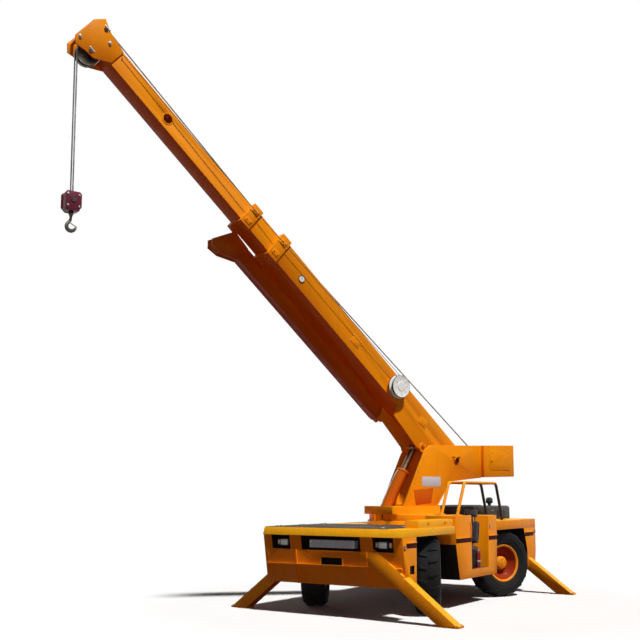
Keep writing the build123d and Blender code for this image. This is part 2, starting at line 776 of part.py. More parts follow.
def tyre_shape():
    """Casing with two staggered rows of bar lugs, each lug in the middle of a facet."""
    facet = 360 / TYRE_SIDES
    with BuildPart() as shape:
        add(tyre_casing())
        for row, first in ((1, 0.5), (-1, 1.5)):
            lug = tyre_lug(row)
            turns = [(first + 2 * n) * facet for n in range(TYRE_SIDES // 2)]
            add([lug.rotate(Axis.Z, turn) for turn in turns])
    return shape.part


def tyre(shape, x, side, turn):
    """The tyre's shape, set on its wheel."""
    return shape.moved(wheel_plane(x, side, turn, WHEEL_OFFSET).location)


def outrigger(side, x):
    """Leg with its foot plate: a slanted square box beam that slides in its tunnel."""
    with BuildPart() as leg:
        with BuildSketch(leg_plane(side, x).offset(-LEG_REACH - LEG_INSIDE)):
            Rectangle(LEG_SIZE, LEG_SIZE)
        extrude(amount=LEG_REACH + LEG_INSIDE + 120)
        with BuildSketch(Plane.XY.offset(-200)):
            with Locations((x, side * LEG_FOOT_Y)):
                Rectangle(500, 1200)
        extrude(amount=200 + FOOT_THICK / 2, mode=Mode.SUBTRACT)
        with BuildSketch(Plane.XY):
            with Locations((x, side * (LEG_FOOT_Y + 20))):
                Rectangle(LEG_SIZE - 2, FOOT_LENGTH)
        extrude(amount=FOOT_THICK)
    return leg.part


# ================================================================ turret
def turret_base():
    """Rotating disc and box, with a pocket at the front for the lift cylinder's foot."""
    ax, az = FOOT_PIN
    with BuildPart() as base:
        with BuildSketch(turret_level(RING_TOP + SLEW_GAP)):
            Circle(DISC_R)
        extrude(amount=DISC_TOP - RING_TOP - SLEW_GAP)
        with BuildSketch(turret_level(DISC_TOP)):
            with Locations(((BASE_FRONT + BASE_REAR) / 2, 0)):
                Rectangle(BASE_FRONT - BASE_REAR, 2 * BASE_HALF)
        extrude(amount=BASE_TOP - DISC_TOP)
        with BuildSketch(turret_level(az - CYL_R)):
            with Locations((ax - 85, 0)):
                Rectangle(390, 2 * (CYL_R + 12))
        extrude(amount=BASE_TOP - az + CYL_R, mode=Mode.SUBTRACT)
        with BuildSketch(turret_side()):
            with Locations((ax, az)):
                Circle(LIFT_PIN_R)
        extrude(amount=CYL_R + 14, both=True)
    return base.part


def turret_mast():
    """Two side plates that carry the boom's pivot, tied by a back plate and a foot plate."""
    thick = CHEEK_THICK
    with BuildPart() as mast:
        for side in (1, -1):
            with BuildSketch(turret_side(side * CHEEK_OUT)):
                Polygon(
                    (345.0, BASE_TOP),
                    (-132.0, 2530.0),
                    (-270.0, 2655.0),
                    (TAIL_FRONT, 2690.0),
                    (TAIL_FRONT, 2110.0),
                    (-731.0, 2034.0),
                    (-655.0, 1892.0),
                    (-420.0, BASE_TOP),
                    align=None,
                )
            extrude(amount=side * thick)
        with BuildSketch(turret_side()):
            with Locations((PIN_X, PIN_Z)):
                Circle(PIN_R)
        extrude(amount=CHEEK_OUT + 25, both=True)
        with BuildSketch(turret_level(BASE_TOP)):
            with Locations((-120.0, 0)):
                Rectangle(560, 2 * (CHEEK_OUT - thick))
        extrude(amount=30)
        with BuildSketch(turret_side()):
            Polygon(
                (-1530.0, 2110.0),
                (-760.0, 2045.0),
                (-760.0, 2075.0),
                (-1530.0, 2140.0),
                align=None,
            )
        extrude(amount=CHEEK_OUT - thick, both=True)
    return mast.part


def tail_box():
    """Winch housing and counterweight behind the mast: a plain steel box."""
    with BuildPart() as tail:
        with BuildSketch(turret_side()):
            Polygon(
                (TAIL_FRONT, TAIL_BOTTOM - 20),
                (TAIL_REAR, TAIL_BOTTOM),
                (TAIL_REAR, TAIL_TOP),
                (TAIL_FRONT, TAIL_TOP - 25),
                align=None,
            )
        extrude(amount=TAIL_HALF, both=True)
        with BuildSketch(turret_side()):
            Polygon(
                (TAIL_FRONT - 190, TAIL_BOTTOM + 220),
                (TAIL_FRONT - 640, TAIL_BOTTOM + 220),
                (TAIL_FRONT - 640, TAIL_TOP - 60),
                (TAIL_FRONT - 190, TAIL_TOP - 60),
                align=None,
            )
        extrude(amount=TAIL_HALF - 120, both=True, mode=Mode.SUBTRACT)
        with BuildSketch(turret_level(TAIL_TOP - 80)):
            with Locations((TAIL_FRONT - 100, 0)):
                Rectangle(240, 120)
        extrude(amount=200, mode=Mode.SUBTRACT)
    return tail.part


# ================================================================ boom
def tube(section, start, end):
    """Square box tube along the boom, as a builder part of its own."""
    w, h = section
    with BuildPart() as box:
        with BuildSketch(boom_cross(start)):
            Rectangle(w, h)
            Rectangle(w - 2 * WALL, h - 2 * WALL, mode=Mode.SUBTRACT)
        extrude(amount=end - start)
    return box.part


def collar(outer, inner, end):
    """Mouth of a section: a ring that stands proud outside and bears on the next section."""
    with BuildPart() as ring:
        with BuildSketch(boom_cross(end - COLLAR)):
            Rectangle(outer[0] + 2 * COLLAR_PROUD, outer[1] + 2 * COLLAR_PROUD)
            Rectangle(inner[0] + 2 * PAD_GAP, inner[1] + 2 * PAD_GAP, mode=Mode.SUBTRACT)
        extrude(amount=COLLAR)
    return ring.part


def tail_pads(section, outside, start):
    """Wear pads round a section's inner end, bearing on the section outside it."""
    with BuildPart() as pads:
        with BuildSketch(boom_cross(start)):
            Rectangle(outside[0] - 2 * WALL - 2 * PAD_GAP, outside[1] - 2 * WALL - 2 * PAD_GAP)
            Rectangle(section[0] - 2 * WALL, section[1] - 2 * WALL, mode=Mode.SUBTRACT)
        extrude(amount=PAD_LENGTH)
    return pads.part


def boom_base():
    """Base section: pivot heel, tube, lift lugs, mouth collar and rope guide."""
    w, h = BASE_SEC
    under = AXIS_H - h / 2
    with BuildPart() as base:
        add(tube(BASE_SEC, 160.0, BASE_END))
        add(collar(BASE_SEC, MID_SEC, BASE_END))
        with BuildSketch(boom_side()):
            with BuildLine():
                Polyline((200, AXIS_H - h / 2), (200, AXIS_H + h / 2), (-60, AXIS_H + h / 2),
                         (HEEL_L, AXIS_H + 20), (-120, AXIS_H - h / 2), (200, AXIS_H - h / 2))
            make_face()
            Circle(PIN_R + 0.05, mode=Mode.SUBTRACT)
        extrude(amount=w / 2, both=True)
        for side in (1, -1):
            with BuildSketch(boom_side(side * w / 2)):
                Polygon(
                    (480.0, under + WALL),
                    (590.0, EYE_H - 35),
                    (650.0, EYE_H - 67),
                    (800.0, EYE_H - 67),
                    (1000.0, EYE_H - 45),
                    (1500.0, EYE_H),
                    (1570.0, under + WALL),
                    align=None,
                )
            extrude(amount=side * 30)
            with BuildSketch(boom_side(side * (w / 2 - 28))):
                with Locations((EYE_L, EYE_H)):
                    Circle(LIFT_PIN_R)
            extrude(amount=side * (w / 2 - 28 - EYE_HALF - 6))
    return base.part


def cable_reel():
    """Spring reel for the load cable on the boom's left side, near its heel."""
    plane = Plane(origin=boom_point(1790.0, 75.0, BASE_SEC[0] / 2), x_dir=ALONG, z_dir=LEFT)
    with BuildPart() as reel:
        with BuildSketch(plane):
            Circle(70)
        extrude(amount=45)
        with BuildSketch(plane.offset(45)):
            Circle(205)
        extrude(amount=25)
        with BuildSketch(plane.offset(70)):
            Circle(150)
        extrude(amount=60)
        with BuildSketch(plane.offset(130)):
            Circle(190)
        extrude(amount=22)
    return reel.part


JIB_IN, JIB_OUT = 235.0, 385.0
JIB_BOTTOM, JIB_TOP = -360.0, -110.0
JIB_REAR, JIB_FRONT = 1500.0, 5330.0


def jib():
    """Swing-away jib stowed on the boom's right side on two brackets, with a sheave at its tip."""
    mid_h = (JIB_BOTTOM + JIB_TOP) / 2
    mid_y = -(JIB_IN + JIB_OUT) / 2
    with BuildPart() as arm:
        with BuildSketch(boom_cross(JIB_REAR, mid_h)):
            with Locations((mid_y, 0)):
                Rectangle(JIB_OUT - JIB_IN, JIB_TOP - JIB_BOTTOM)
                Rectangle(
                    JIB_OUT - JIB_IN - 2 * WALL, JIB_TOP - JIB_BOTTOM - 2 * WALL, mode=Mode.SUBTRACT
                )
        extrude(amount=JIB_FRONT - JIB_REAR)
        for y in (-JIB_IN + 4, -JIB_OUT + 16):
            with BuildSketch(boom_side(y)):
                Polygon(
                    (JIB_FRONT - 160, JIB_TOP + 10),
                    (JIB_FRONT + 190, JIB_TOP + 40),
                    (JIB_FRONT + 380, -470.0),
                    (JIB_FRONT + 300, -570.0),
                    (JIB_FRONT + 120, -540.0),
                    (JIB_FRONT - 160, JIB_BOTTOM - 10),
                    align=None,
                )
            extrude(amount=20)
        with BuildSketch(boom_side(mid_y)):
            with Locations((JIB_FRONT + 230, -440.0)):
                Circle(120)
        extrude(amount=28, both=True)
        with BuildSketch(boom_side(mid_y)):
            with Locations((JIB_FRONT + 230, -440.0)):
                Circle(30)
        extrude(amount=(JIB_OUT - JIB_IN) / 2, both=True)
        for l in (1900.0, 4300.0):
            with BuildSketch(boom_cross(l, -90.0)):
                with Locations(((-BASE_SEC[0] / 2 - JIB_OUT) / 2, 0)):
                    Rectangle(JIB_OUT - BASE_SEC[0] / 2, 60)
            extrude(amount=110)
    return arm.part


def boom_mid():
    with BuildPart() as mid:
        add(tube(MID_SEC, MID_START, MID_END))
        add(collar(MID_SEC, FLY_SEC, MID_END))
        add(tail_pads(MID_SEC, BASE_SEC, MID_START))
    return mid.part


PORT_L, PORT_R = FLY_END - 1188, 72.0


def boom_fly():
    """Fly section: tube with a port through its sides, tail pads and an end plate."""
    with BuildPart() as fly:
        add(tube(FLY_SEC, FLY_START, FLY_END))
        add(tail_pads(FLY_SEC, MID_SEC, FLY_START))
        with BuildSketch(boom_cross(FLY_END - 12)):
            Rectangle(FLY_SEC[0], FLY_SEC[1])
        extrude(amount=12)
        with BuildSketch(boom_side()):
            with Locations((PORT_L, AXIS_H)):
                Circle(PORT_R)
        extrude(amount=FLY_SEC[0] / 2, both=True, mode=Mode.SUBTRACT)
    return fly.part


CHEEK_PLATE = 20.0
HEAD_GRIP = 130.0              # how far the head's plates lap over the fly
TOP_PIN = (HEAD_L + 80, 215.0)
TOP_SHEAVE_R = 105.0


def boom_head():
    """Head: two side plates on the fly's end, tied by two cross pins."""
    with BuildPart() as head:
        for side in (1, -1):
            with BuildSketch(boom_side(side * (FLY_SEC[0] / 2 + CHEEK_PLATE))):
                Polygon(
                    (FLY_END - HEAD_GRIP, 200.0),
                    (TOP_PIN[0] - 50, TOP_PIN[1] + 35),
                    (TOP_PIN[0] + 110, TOP_PIN[1] + 115),
                    (TOP_PIN[0] + 200, TOP_PIN[1] - 45),
                    (HEAD_L + 280, HEAD_H - 15),
                    (HEAD_L + 190, HEAD_H - 110),
                    (HEAD_L + 40, HEAD_H - 60),
                    (HEAD_L - 90, HEAD_H - 45),
                    (FLY_END - HEAD_GRIP, -80.0),
                    align=None,
                )
            extrude(amount=side * CHEEK_PLATE)
        for l, h in ((HEAD_L - 85, 115.0), (HEAD_L + 225, HEAD_H + 25)):
            with BuildSketch(boom_side()):
                with Locations((l, h)):
                    Circle(22)
            extrude(amount=FLY_SEC[0] / 2 + CHEEK_PLATE / 2, both=True)
    return head.part


def head_sheaves():
    """Lower pair of sheaves that the two falls leave, and the top sheave, each on its pin."""
    with BuildPart() as sheaves:
        for l, h, r in ((HEAD_L, HEAD_H, SHEAVE_R), (*TOP_PIN, TOP_SHEAVE_R)):
            with BuildSketch(boom_side()):
                with Locations((l, h)):
                    Circle(28)
            extrude(amount=FLY_SEC[0] / 2, both=True)
            for y in (-FALL_SPACING / 2, FALL_SPACING / 2):
                with BuildSketch(boom_side(y)):
                    with Locations((l, h)):
                        Circle(r)
                extrude(amount=26, both=True)
    return sheaves.part


HEAD = boom_point(HEAD_L, HEAD_H)
FALL_AT = HEAD + FWD * (SHEAVE_R + ROPE_R + 0.3)


def rope_fall():
    """Two parallel falls of hoist rope, from the head sheaves down to the hook block."""
    with BuildPart() as falls:
        for y in (-FALL_SPACING / 2, FALL_SPACING / 2):
            at = FALL_AT + LEFT * y
            with BuildSketch(Plane(origin=(at.X, at.Y, HOOK_TOP), x_dir=FWD, z_dir=UP)):
                Circle(ROPE_R)
            extrude(amount=HEAD.Z - HOOK_TOP)
    return falls.part


def hook_block():
    """Weighted block round the lower sheave."""
    w, d, h = BLOCK_SIZE
    plane = Plane(origin=(FALL_AT.X, FALL_AT.Y, HOOK_TOP), x_dir=FWD, z_dir=-UP)
    with BuildPart() as block:
        with BuildSketch(plane):
            RectangleRounded(w, d, 30)
        extrude(amount=h)
        chamfer(block.edges().group_by(Axis.Z)[-1], length=25)
    return block.part


def hook():
    """Load hook on a swivel shank under the block."""
    x0 = 0.0
    top = HOOK_TOP - BLOCK_SIZE[2]
    plane = Plane(origin=(FALL_AT.X, FALL_AT.Y, top), x_dir=FWD, z_dir=-LEFT)
    with BuildPart() as item:
        with BuildSketch(Plane(origin=(FALL_AT.X, FALL_AT.Y, top), x_dir=FWD, z_dir=-UP)):
            Circle(32)
        extrude(amount=90)
        with BuildSketch(plane):
            with BuildLine():
                Polyline((x0 - 26, -80), (x0 + 26, -80), (x0 + 34, -130), (x0 + 84, -190),
                         (x0 + 70, -262), (x0 + 2, -298), (x0 - 72, -268), (x0 - 96, -205),
                         (x0 - 58, -196), (x0 - 40, -230), (x0 + 2, -246), (x0 + 34, -222),
                         (x0 + 32, -184), (x0 - 26, -140), (x0 - 26, -80))
            make_face()
        extrude(amount=24, both=True)
    return item.part


def cylinder_line():
    """Foot pin, rod-eye pin, direction between them and distance, as it stands."""
    foot = FWD * FOOT_PIN[0] + UP * FOOT_PIN[1]
    eye = boom_point(EYE_L, EYE_H)
    return foot, eye, (eye - foot).normalized(), (eye - foot).length


def lift_barrel():
    """Cylinder barrel, from its foot eye to the gland."""
    foot, _, way, _ = cylinder_line()
    with BuildPart() as barrel:
        with BuildSketch(Plane(origin=foot + way * CYL_FOOT, x_dir=LEFT, z_dir=way)):
            Circle(CYL_R)
            Circle(ROD_R + 20, mode=Mode.SUBTRACT)
        extrude(amount=CYL_LENGTH - CYL_FOOT)
        with BuildSketch(Plane(origin=foot + way * (CYL_LENGTH - GLAND), x_dir=LEFT, z_dir=way)):
            Circle(CYL_R + 8)
            Circle(ROD_R + 0.1, mode=Mode.SUBTRACT)
        extrude(amount=GLAND)
        with BuildSketch(Plane(origin=foot + way * (CYL_FOOT - 15), x_dir=LEFT, z_dir=way)):
            Circle(CYL_R)
        extrude(amount=15)
        with BuildSketch(Plane(origin=foot, x_dir=way, z_dir=LEFT)):
            Circle(BARREL_EYE_R)
            Circle(LIFT_PIN_R + 0.05, mode=Mode.SUBTRACT)
        extrude(amount=EYE_HALF, both=True)
    return barrel.part


def lift_rod():
    """Cylinder rod with its eye, between the boom's lugs."""
    foot, eye, way, reach = cylinder_line()
    with BuildPart() as rod:
        with BuildSketch(Plane(origin=foot + way * ROD_START, x_dir=LEFT, z_dir=way)):
            Circle(ROD_R)
        extrude(amount=reach - ROD_START - LIFT_PIN_R - 6)
        with BuildSketch(Plane(origin=foot + way * ROD_START, x_dir=LEFT, z_dir=way)):
            Circle(ROD_R + 19.5)
        extrude(amount=PISTON)
        with BuildSketch(Plane(origin=eye, x_dir=way, z_dir=LEFT)):
            Circle(ROD_EYE_R)
            Circle(LIFT_PIN_R + 2, mode=Mode.SUBTRACT)
        extrude(amount=EYE_HALF, both=True)
    return rod.part


# ================================================================ build all
ONE_OFF = (
    ("main_frame", main_frame),
    ("deck_plate", deck_plate),
    ("deck_tread", deck_tread),
    ("front_box", front_box),
    ("front_plate", front_plate),
    ("headlamps", headlamps),
    ("marker_lamps", marker_lamps),
    ("deck_curb", deck_curb),
    ("rear_fenders", rear_fenders),
    ("rear_body", rear_body),
    ("engine_hood", engine_hood),
    ("engine_block", engine_block),
    ("rear_grille", rear_grille),
    ("side_tank", side_tank),
    ("station_tub", station_tub),
    ("overhead_guard", overhead_guard),
    ("seat", seat),
    ("controls", controls),
    ("fire_bottle", fire_bottle),
    ("turntable_ring", turntable_ring),
    ("turret_base", turret_base),
    ("turret_mast", turret_mast),
    ("tail_box", tail_box),
    ("boom_base", boom_base),
    ("cable_reel", cable_reel),
    ("jib", jib),
    ("boom_mid", boom_mid),
    ("boom_fly", boom_fly),
    ("boom_head", boom_head),
    ("head_sheaves", head_sheaves),
    ("rope_fall", rope_fall),
    ("hook_block", hook_block),
    ("hook", hook),
    ("lift_barrel", lift_barrel),
    ("lift_rod", lift_rod),
)
for name, make in ONE_OFF:
    save(make(), name)
save(axle(FRONT_AXLE_X), "front_axle")
save(axle(REAR_AXLE_X), "rear_axle")
tyre_solid = tyre_shape()
for corner, axle_x, hand, turn in CORNERS:
    save(knuckle(axle_x, hand, turn), f"knuckle_{corner}")
    save(rim(axle_x, hand, turn), f"rim_{corner}")
    save(tyre(tyre_solid, axle_x, hand, turn), f"tyre_{corner}")
for name, hand, leg_x in OUTRIGGERS:
    save(outrigger(hand, leg_x), name)
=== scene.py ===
"""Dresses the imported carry-deck crane: bevelled steelwork, wheels, station, ropes and finishes."""

import json
from contextlib import contextmanager
from math import atan2, cos, degrees, hypot, pi, radians, sin

import bpy
from mathutils import Matrix, Vector


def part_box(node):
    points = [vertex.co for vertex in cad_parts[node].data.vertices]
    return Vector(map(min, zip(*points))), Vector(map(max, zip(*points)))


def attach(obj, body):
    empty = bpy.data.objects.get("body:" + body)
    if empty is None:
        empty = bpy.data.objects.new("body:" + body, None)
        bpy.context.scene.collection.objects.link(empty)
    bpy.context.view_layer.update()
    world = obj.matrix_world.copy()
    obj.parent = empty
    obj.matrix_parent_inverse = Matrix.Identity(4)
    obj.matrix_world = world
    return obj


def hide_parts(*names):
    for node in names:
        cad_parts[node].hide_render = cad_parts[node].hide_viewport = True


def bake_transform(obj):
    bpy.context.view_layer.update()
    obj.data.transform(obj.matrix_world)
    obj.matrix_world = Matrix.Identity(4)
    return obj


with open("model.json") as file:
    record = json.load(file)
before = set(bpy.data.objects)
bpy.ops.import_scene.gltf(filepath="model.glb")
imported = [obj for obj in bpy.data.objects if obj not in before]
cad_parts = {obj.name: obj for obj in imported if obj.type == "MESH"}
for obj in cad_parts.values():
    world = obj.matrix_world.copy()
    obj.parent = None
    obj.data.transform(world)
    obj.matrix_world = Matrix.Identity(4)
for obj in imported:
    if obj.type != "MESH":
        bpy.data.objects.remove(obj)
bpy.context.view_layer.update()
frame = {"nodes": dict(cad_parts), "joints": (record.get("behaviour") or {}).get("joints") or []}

# ---------------------------------------------------------------- places, read from the frame
JOINTS = {joint["name"]: joint for joint in frame["joints"]}
UP = Vector((0, 0, 1))
LEFT = -Vector(JOINTS["luff"]["axis"])
FWD = LEFT.cross(UP)
ALONG = Vector(JOINTS["telescope_mid"]["axis"])
NORMAL = ALONG.cross(LEFT)
PIVOT = Vector(JOINTS["luff"]["pos_m"])
HEAD = Vector(JOINTS["hook_swing"]["pos_m"])
CORNERS = ("front_left", "front_right", "rear_left", "rear_right")
SIDES = (1, -1)                            # left, right


def axes(x, y, z, at=(0, 0, 0)):
    """Matrix that turns a piece's own axes to x, y and z and takes its origin to at."""
    turn = Matrix((Vector(x), Vector(y), Vector(z))).transposed().to_4x4()
    turn.translation = Vector(at)
    return turn


CARRIER = Matrix.Identity(4)               # forward, left, up
TURRET = axes(FWD, LEFT, UP)               # forward, left, up as the turret is slewed
BOOM = axes(ALONG, LEFT, NORMAL, PIVOT)    # along the boom, left, square to it


def facing(direction, at, up=UP):
    """Place whose z axis points along direction and whose y axis leans towards up."""
    z = Vector(direction).normalized()
    x = Vector(up).cross(z)
    x = x.normalized() if x.length > 1e-6 else Vector((1, 0, 0))
    return axes(x, z.cross(x), z, at)


def shift(x=0.0, y=0.0, z=0.0):
    return Matrix.Translation((x, y, z))


def circle(count, radius, z=0.0):
    """Places spread evenly round z, whose x axes point outwards."""
    return [Matrix.Rotation(2 * pi * n / count, 4, "Z") @ shift(radius, 0, z) for n in range(count)]


def out_from(y, side, depth):
    """Where a skin that stands out from a side face begins and ends in y, lowest first."""
    return sorted((y, y + side * depth))


# ---------------------------------------------------------------- modelling helpers
def deselect():
    if bpy.context.object and bpy.context.object.mode != "OBJECT":
        bpy.ops.object.mode_set(mode="OBJECT")
    bpy.ops.object.select_all(action="DESELECT")


def activate(piece):
    deselect()
    piece.select_set(True)
    bpy.context.view_layer.objects.active = piece


def choose(mesh, kind, test):
    """Selects the vertices, edges or faces that pass the test; a test of None selects all."""
    for group in (mesh.vertices, mesh.edges, mesh.polygons):
        group.foreach_set("select", [test is None] * len(group))
    if test is not None:
        group = {"VERT": mesh.vertices, "EDGE": mesh.edges, "FACE": mesh.polygons}[kind]
        for item in group:
            item.select = bool(test(item))
    tools = bpy.context.tool_settings
    tools.mesh_select_mode = (kind == "VERT", kind == "EDGE", kind == "FACE")


@contextmanager
def editing(piece, kind="VERT", test=None):
    """Edit mode on one piece, with what passes the test selected."""
    activate(piece)
    choose(piece.data, kind, test)
    bpy.ops.object.mode_set(mode="EDIT")
    yield piece
    bpy.ops.object.mode_set(mode="OBJECT")


def modify(piece, kind, **settings):
    """Adds a modifier and applies it."""
    activate(piece)
    item = piece.modifiers.new(kind.lower(), kind)
    for key, value in settings.items():
        setattr(item, key, value)
    bpy.ops.object.modifier_apply(modifier=item.name)


def ease(piece, width, segments=2):
    """Rounds the sharp edges of a piece, as a grinder or a press brake leaves them."""
    modify(piece, "BEVEL", width=width, segments=segments, limit_method="ANGLE",
           angle_limit=radians(32), use_clamp_overlap=True)


def block(low, high, bevel=0.004, segments=2):
    """Block between two corners of a place, with rounded edges."""
    low, high = Vector(low), Vector(high)
    deselect()
    bpy.ops.mesh.primitive_cube_add(size=1, location=(low + high) / 2, scale=high - low)
    piece = bpy.context.object
    bpy.ops.object.transform_apply()
    if bevel:
        with editing(piece):
            bpy.ops.mesh.bevel(offset=bevel, segments=segments, affect="EDGES")
    return piece


def start_line(points):
    """Open line of vertices, extruded point by point."""
    deselect()
    first = Vector(points[0])
    bpy.ops.mesh.primitive_plane_add(size=0.01, location=first)
    piece = bpy.context.object
    bpy.ops.object.transform_apply()
    with editing(piece):
        bpy.ops.mesh.merge(type="CENTER")
        at = first
        for point in points[1:]:
            step = Vector(point) - at
            bpy.ops.mesh.extrude_vertices_move(TRANSFORM_OT_translate={"value": step})
            at = Vector(point)
    return piece


def turned(profile, steps=40):
    """Shape turned about z from (radius, height) points; a closed profile repeats its first."""
    piece = start_line([(r, 0, z) for r, z in profile])
    with editing(piece):
        bpy.ops.mesh.spin(steps=steps, angle=2 * pi, center=(0, 0, 0), axis=(0, 0, 1))
        bpy.ops.mesh.select_all(action="SELECT")
        bpy.ops.mesh.remove_doubles(threshold=1e-5)
        bpy.ops.mesh.normals_make_consistent(inside=False)
    return piece


def plate(outline, back, front, bevel=0.003):
    """Flat plate from an outline of (x, z) points, between two places in y."""
    piece = start_line([(x, back, z) for x, z in outline])
    with editing(piece):
        bpy.ops.mesh.edge_face_add()
        bpy.ops.mesh.extrude_region_move(TRANSFORM_OT_translate={"value": (0, front - back, 0)})
        bpy.ops.mesh.select_all(action="SELECT")
        bpy.ops.mesh.normals_make_consistent(inside=False)
    if bevel:
        ease(piece, bevel)
    return piece


def rod(start, end, radius, bevel=0.0, vertices=24):
    """Round bar between two points."""
    start, end = Vector(start), Vector(end)
    deselect()
    bpy.ops.mesh.primitive_cylinder_add(
        vertices=vertices, radius=radius, depth=(end - start).length
    )
    piece = bpy.context.object
    if bevel:
        ease(piece, bevel)
    piece.data.transform(facing(end - start, (start + end) / 2, LEFT))
    return piece


def new_curve(kind, count):
    """Curve object with one spline of a number of points, and that spline."""
    deselect()
    bpy.ops.curve.primitive_nurbs_path_add()
    line = bpy.context.object
    line.data.splines.clear()
    spline = line.data.splines.new(kind)
    spline.points.add(count - 1)
    return line, spline


def run(points, radius, kind="NURBS", sides=3, cyclic=False):
    """Bent tube or hose along control points."""
    line, spline = new_curve(kind, len(points))
    curve = line.data
    for item, point in zip(spline.points, points):
        item.co = (*point, 1)
    spline.use_cyclic_u = cyclic
    if kind == "NURBS":
        spline.use_endpoint_u = not cyclic
        spline.order_u = 3
        spline.resolution_u = 8
    curve.bevel_depth = radius
    curve.bevel_resolution = sides
    curve.use_fill_caps = True
    bpy.ops.object.convert(target="MESH")
    return bpy.context.object


def joined(pieces):
    """One piece out of several."""
    activate(pieces[0])
    for piece in pieces[1:]:
        piece.select_set(True)
    bpy.ops.object.join()
    return pieces[0]


def copied(source):
    """Copy of a piece with a mesh of its own."""
    piece = source.copy()
    piece.data = source.data.copy()
    bpy.context.collection.objects.link(piece)
    return piece


def swung(piece, place):
    """Takes a piece to a place whose axes mirror it, and turns its faces outwards again."""
    piece.data.transform(place)
    with editing(piece):
        bpy.ops.mesh.normals_make_consistent(inside=False)
    return piece


def repeated(master, places):
    """One piece made of a copy of the master, with its own mesh, at each place."""
    copies = []
    for place in places:
        copies.append(copied(master))
        copies[-1].data.transform(place)
    bpy.data.objects.remove(master)
    return joined(copies)


def keep(piece, name, body, material, place=CARRIER, smooth=35, node=None):
    """Finishes a piece: place, shading, material, the body it rides on if any, and its CAD node."""
    piece.name = name
    piece.data.name = name
    piece.data.transform(place)
    activate(piece)
    bpy.ops.object.shade_smooth_by_angle(angle=radians(smooth))
    piece.data.materials.clear()
    piece.data.materials.append(material)
    if body:
        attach(piece, body)
    if node:
        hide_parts(*([node] if isinstance(node, str) else node))
    return piece


def dress(node, body, material, bevel=0.004, segments=2):
    """Copy of a CAD node's mesh, merged, with its sharp edges rounded, that stands for the node."""
    piece = copied(frame["nodes"][node])
    piece.parent = None
    with editing(piece):
        bpy.ops.mesh.remove_doubles(threshold=2e-5)
        bpy.ops.mesh.dissolve_limited(angle_limit=radians(0.5))
    if bevel:
        ease(piece, bevel, segments)
    return keep(piece, node + "_finish", body, material, node=node)


def painted(piece, material, test):
    """Gives the faces that pass the test a finish of their own; the test gets centre and normal."""
    piece.data.materials.append(material)
    slot = len(piece.data.materials) - 1
    for face in piece.data.polygons:
        if test(face.center, face.normal):
            face.material_index = slot
    return piece


def inside(point, low, high):
    return all(a < value < b for a, value, b in zip(low, point, high))


def hex_bolt(size):
    """Bolt head on a washer, standing on z = 0; size is the width across its corners."""
    deselect()
    bpy.ops.mesh.primitive_cylinder_add(
        vertices=6, radius=size / 2, depth=size * 0.4, location=(0, 0, size * 0.28)
    )
    head = bpy.context.object
    bpy.ops.object.transform_apply()
    with editing(head, "FACE", lambda face: face.normal.z > 0.9):
        bpy.ops.mesh.inset(thickness=size * 0.06, depth=size * 0.05)
    washer = turned([(0, 0), (size * 0.62, 0), (size * 0.62, size * 0.07), (0, size * 0.08)], 14)
    return joined([head, washer])


def bolted(name, body, places, size=0.028, finish=None):
    """Bolt heads at places whose z axis points out of the surface."""
    return keep(repeated(hex_bolt(size), places), name, body, finish or ZINC_BOLT, smooth=40)


# ---------------------------------------------------------------- finishes
def linear(code):
    """Linear colour of an sRGB hex value."""
    parts = [int(code[at:at + 2], 16) / 255 for at in (0, 2, 4)]
    return (*[p / 12.92 if p <= 0.04045 else ((p + 0.055) / 1.055) ** 2.4 for p in parts], 1.0)


def node(tree, kind, links=None, stops=None, **settings):
    """Adds a shader node: its settings, its inputs as values or nodes' outputs, and its ramp."""
    item = tree.nodes.new("ShaderNode" + kind)
    for key, value in settings.items():
        setattr(item, key, value)
    for key, value in (links or {}).items():
        if isinstance(value, bpy.types.NodeSocket):
            tree.links.new(value, item.inputs[key])
        else:
            item.inputs[key].default_value = value
    if stops:
        ramp = item.color_ramp.elements
        while len(ramp) < len(stops):
            ramp.new(1.0)
        for element, (at, code) in zip(ramp, stops):
            element.position = at
            element.color = linear(code)
    return item


def noise(tree, place, scale, detail, rough=0.5):
    """Noise over a place; rough is the share that each finer layer keeps."""
    return node(tree, "TexNoise", {"Vector": place, "Scale": scale, "Detail": detail,
                                   "Roughness": rough})


def span(tree, value, start, end, low=0.0, high=1.0, **settings):
    """Takes a socket's value from the range start to end into the range low to high."""
    return node(tree, "MapRange", {"Value": value, 1: start, 2: end, 3: low, 4: high}, **settings)


def towards(tree, share, base, code):
    """Mixes one node's colour towards an sRGB one by the share that another node gives."""
    return node(tree, "MixRGB", {"Fac": share.outputs[0], "Color1": base.outputs[0],
                                 "Color2": linear(code)})


def combined(tree, one, other, operation="MULTIPLY"):
    return node(tree, "Math", {0: one, 1: other}, operation=operation)


def relief(tree, height, strength, distance, **links):
    """Bump of a strength, as if the height node were distance metres deep."""
    return node(tree, "Bump", {"Height": height.outputs[0], "Strength": strength,
                               "Distance": distance, **links})


def connect(tree, shader, colour, matt, bump):
    """Gives a shader its colour, roughness and relief."""
    for socket, source in (("Base Color", colour), ("Roughness", matt), ("Normal", bump)):
        tree.links.new(source.outputs[0], shader.inputs[socket])


def surface(name, **constants):
    """New material with its tree, its shader with some sockets set, and object coordinates."""
    made = bpy.data.materials.new(name)
    made.use_nodes = True
    tree = made.node_tree
    shader = tree.nodes["Principled BSDF"]
    for socket, value in constants.items():
        shader.inputs[socket.replace("_", " ")].default_value = value
    return made, tree, shader, node(tree, "TexCoord").outputs["Object"]


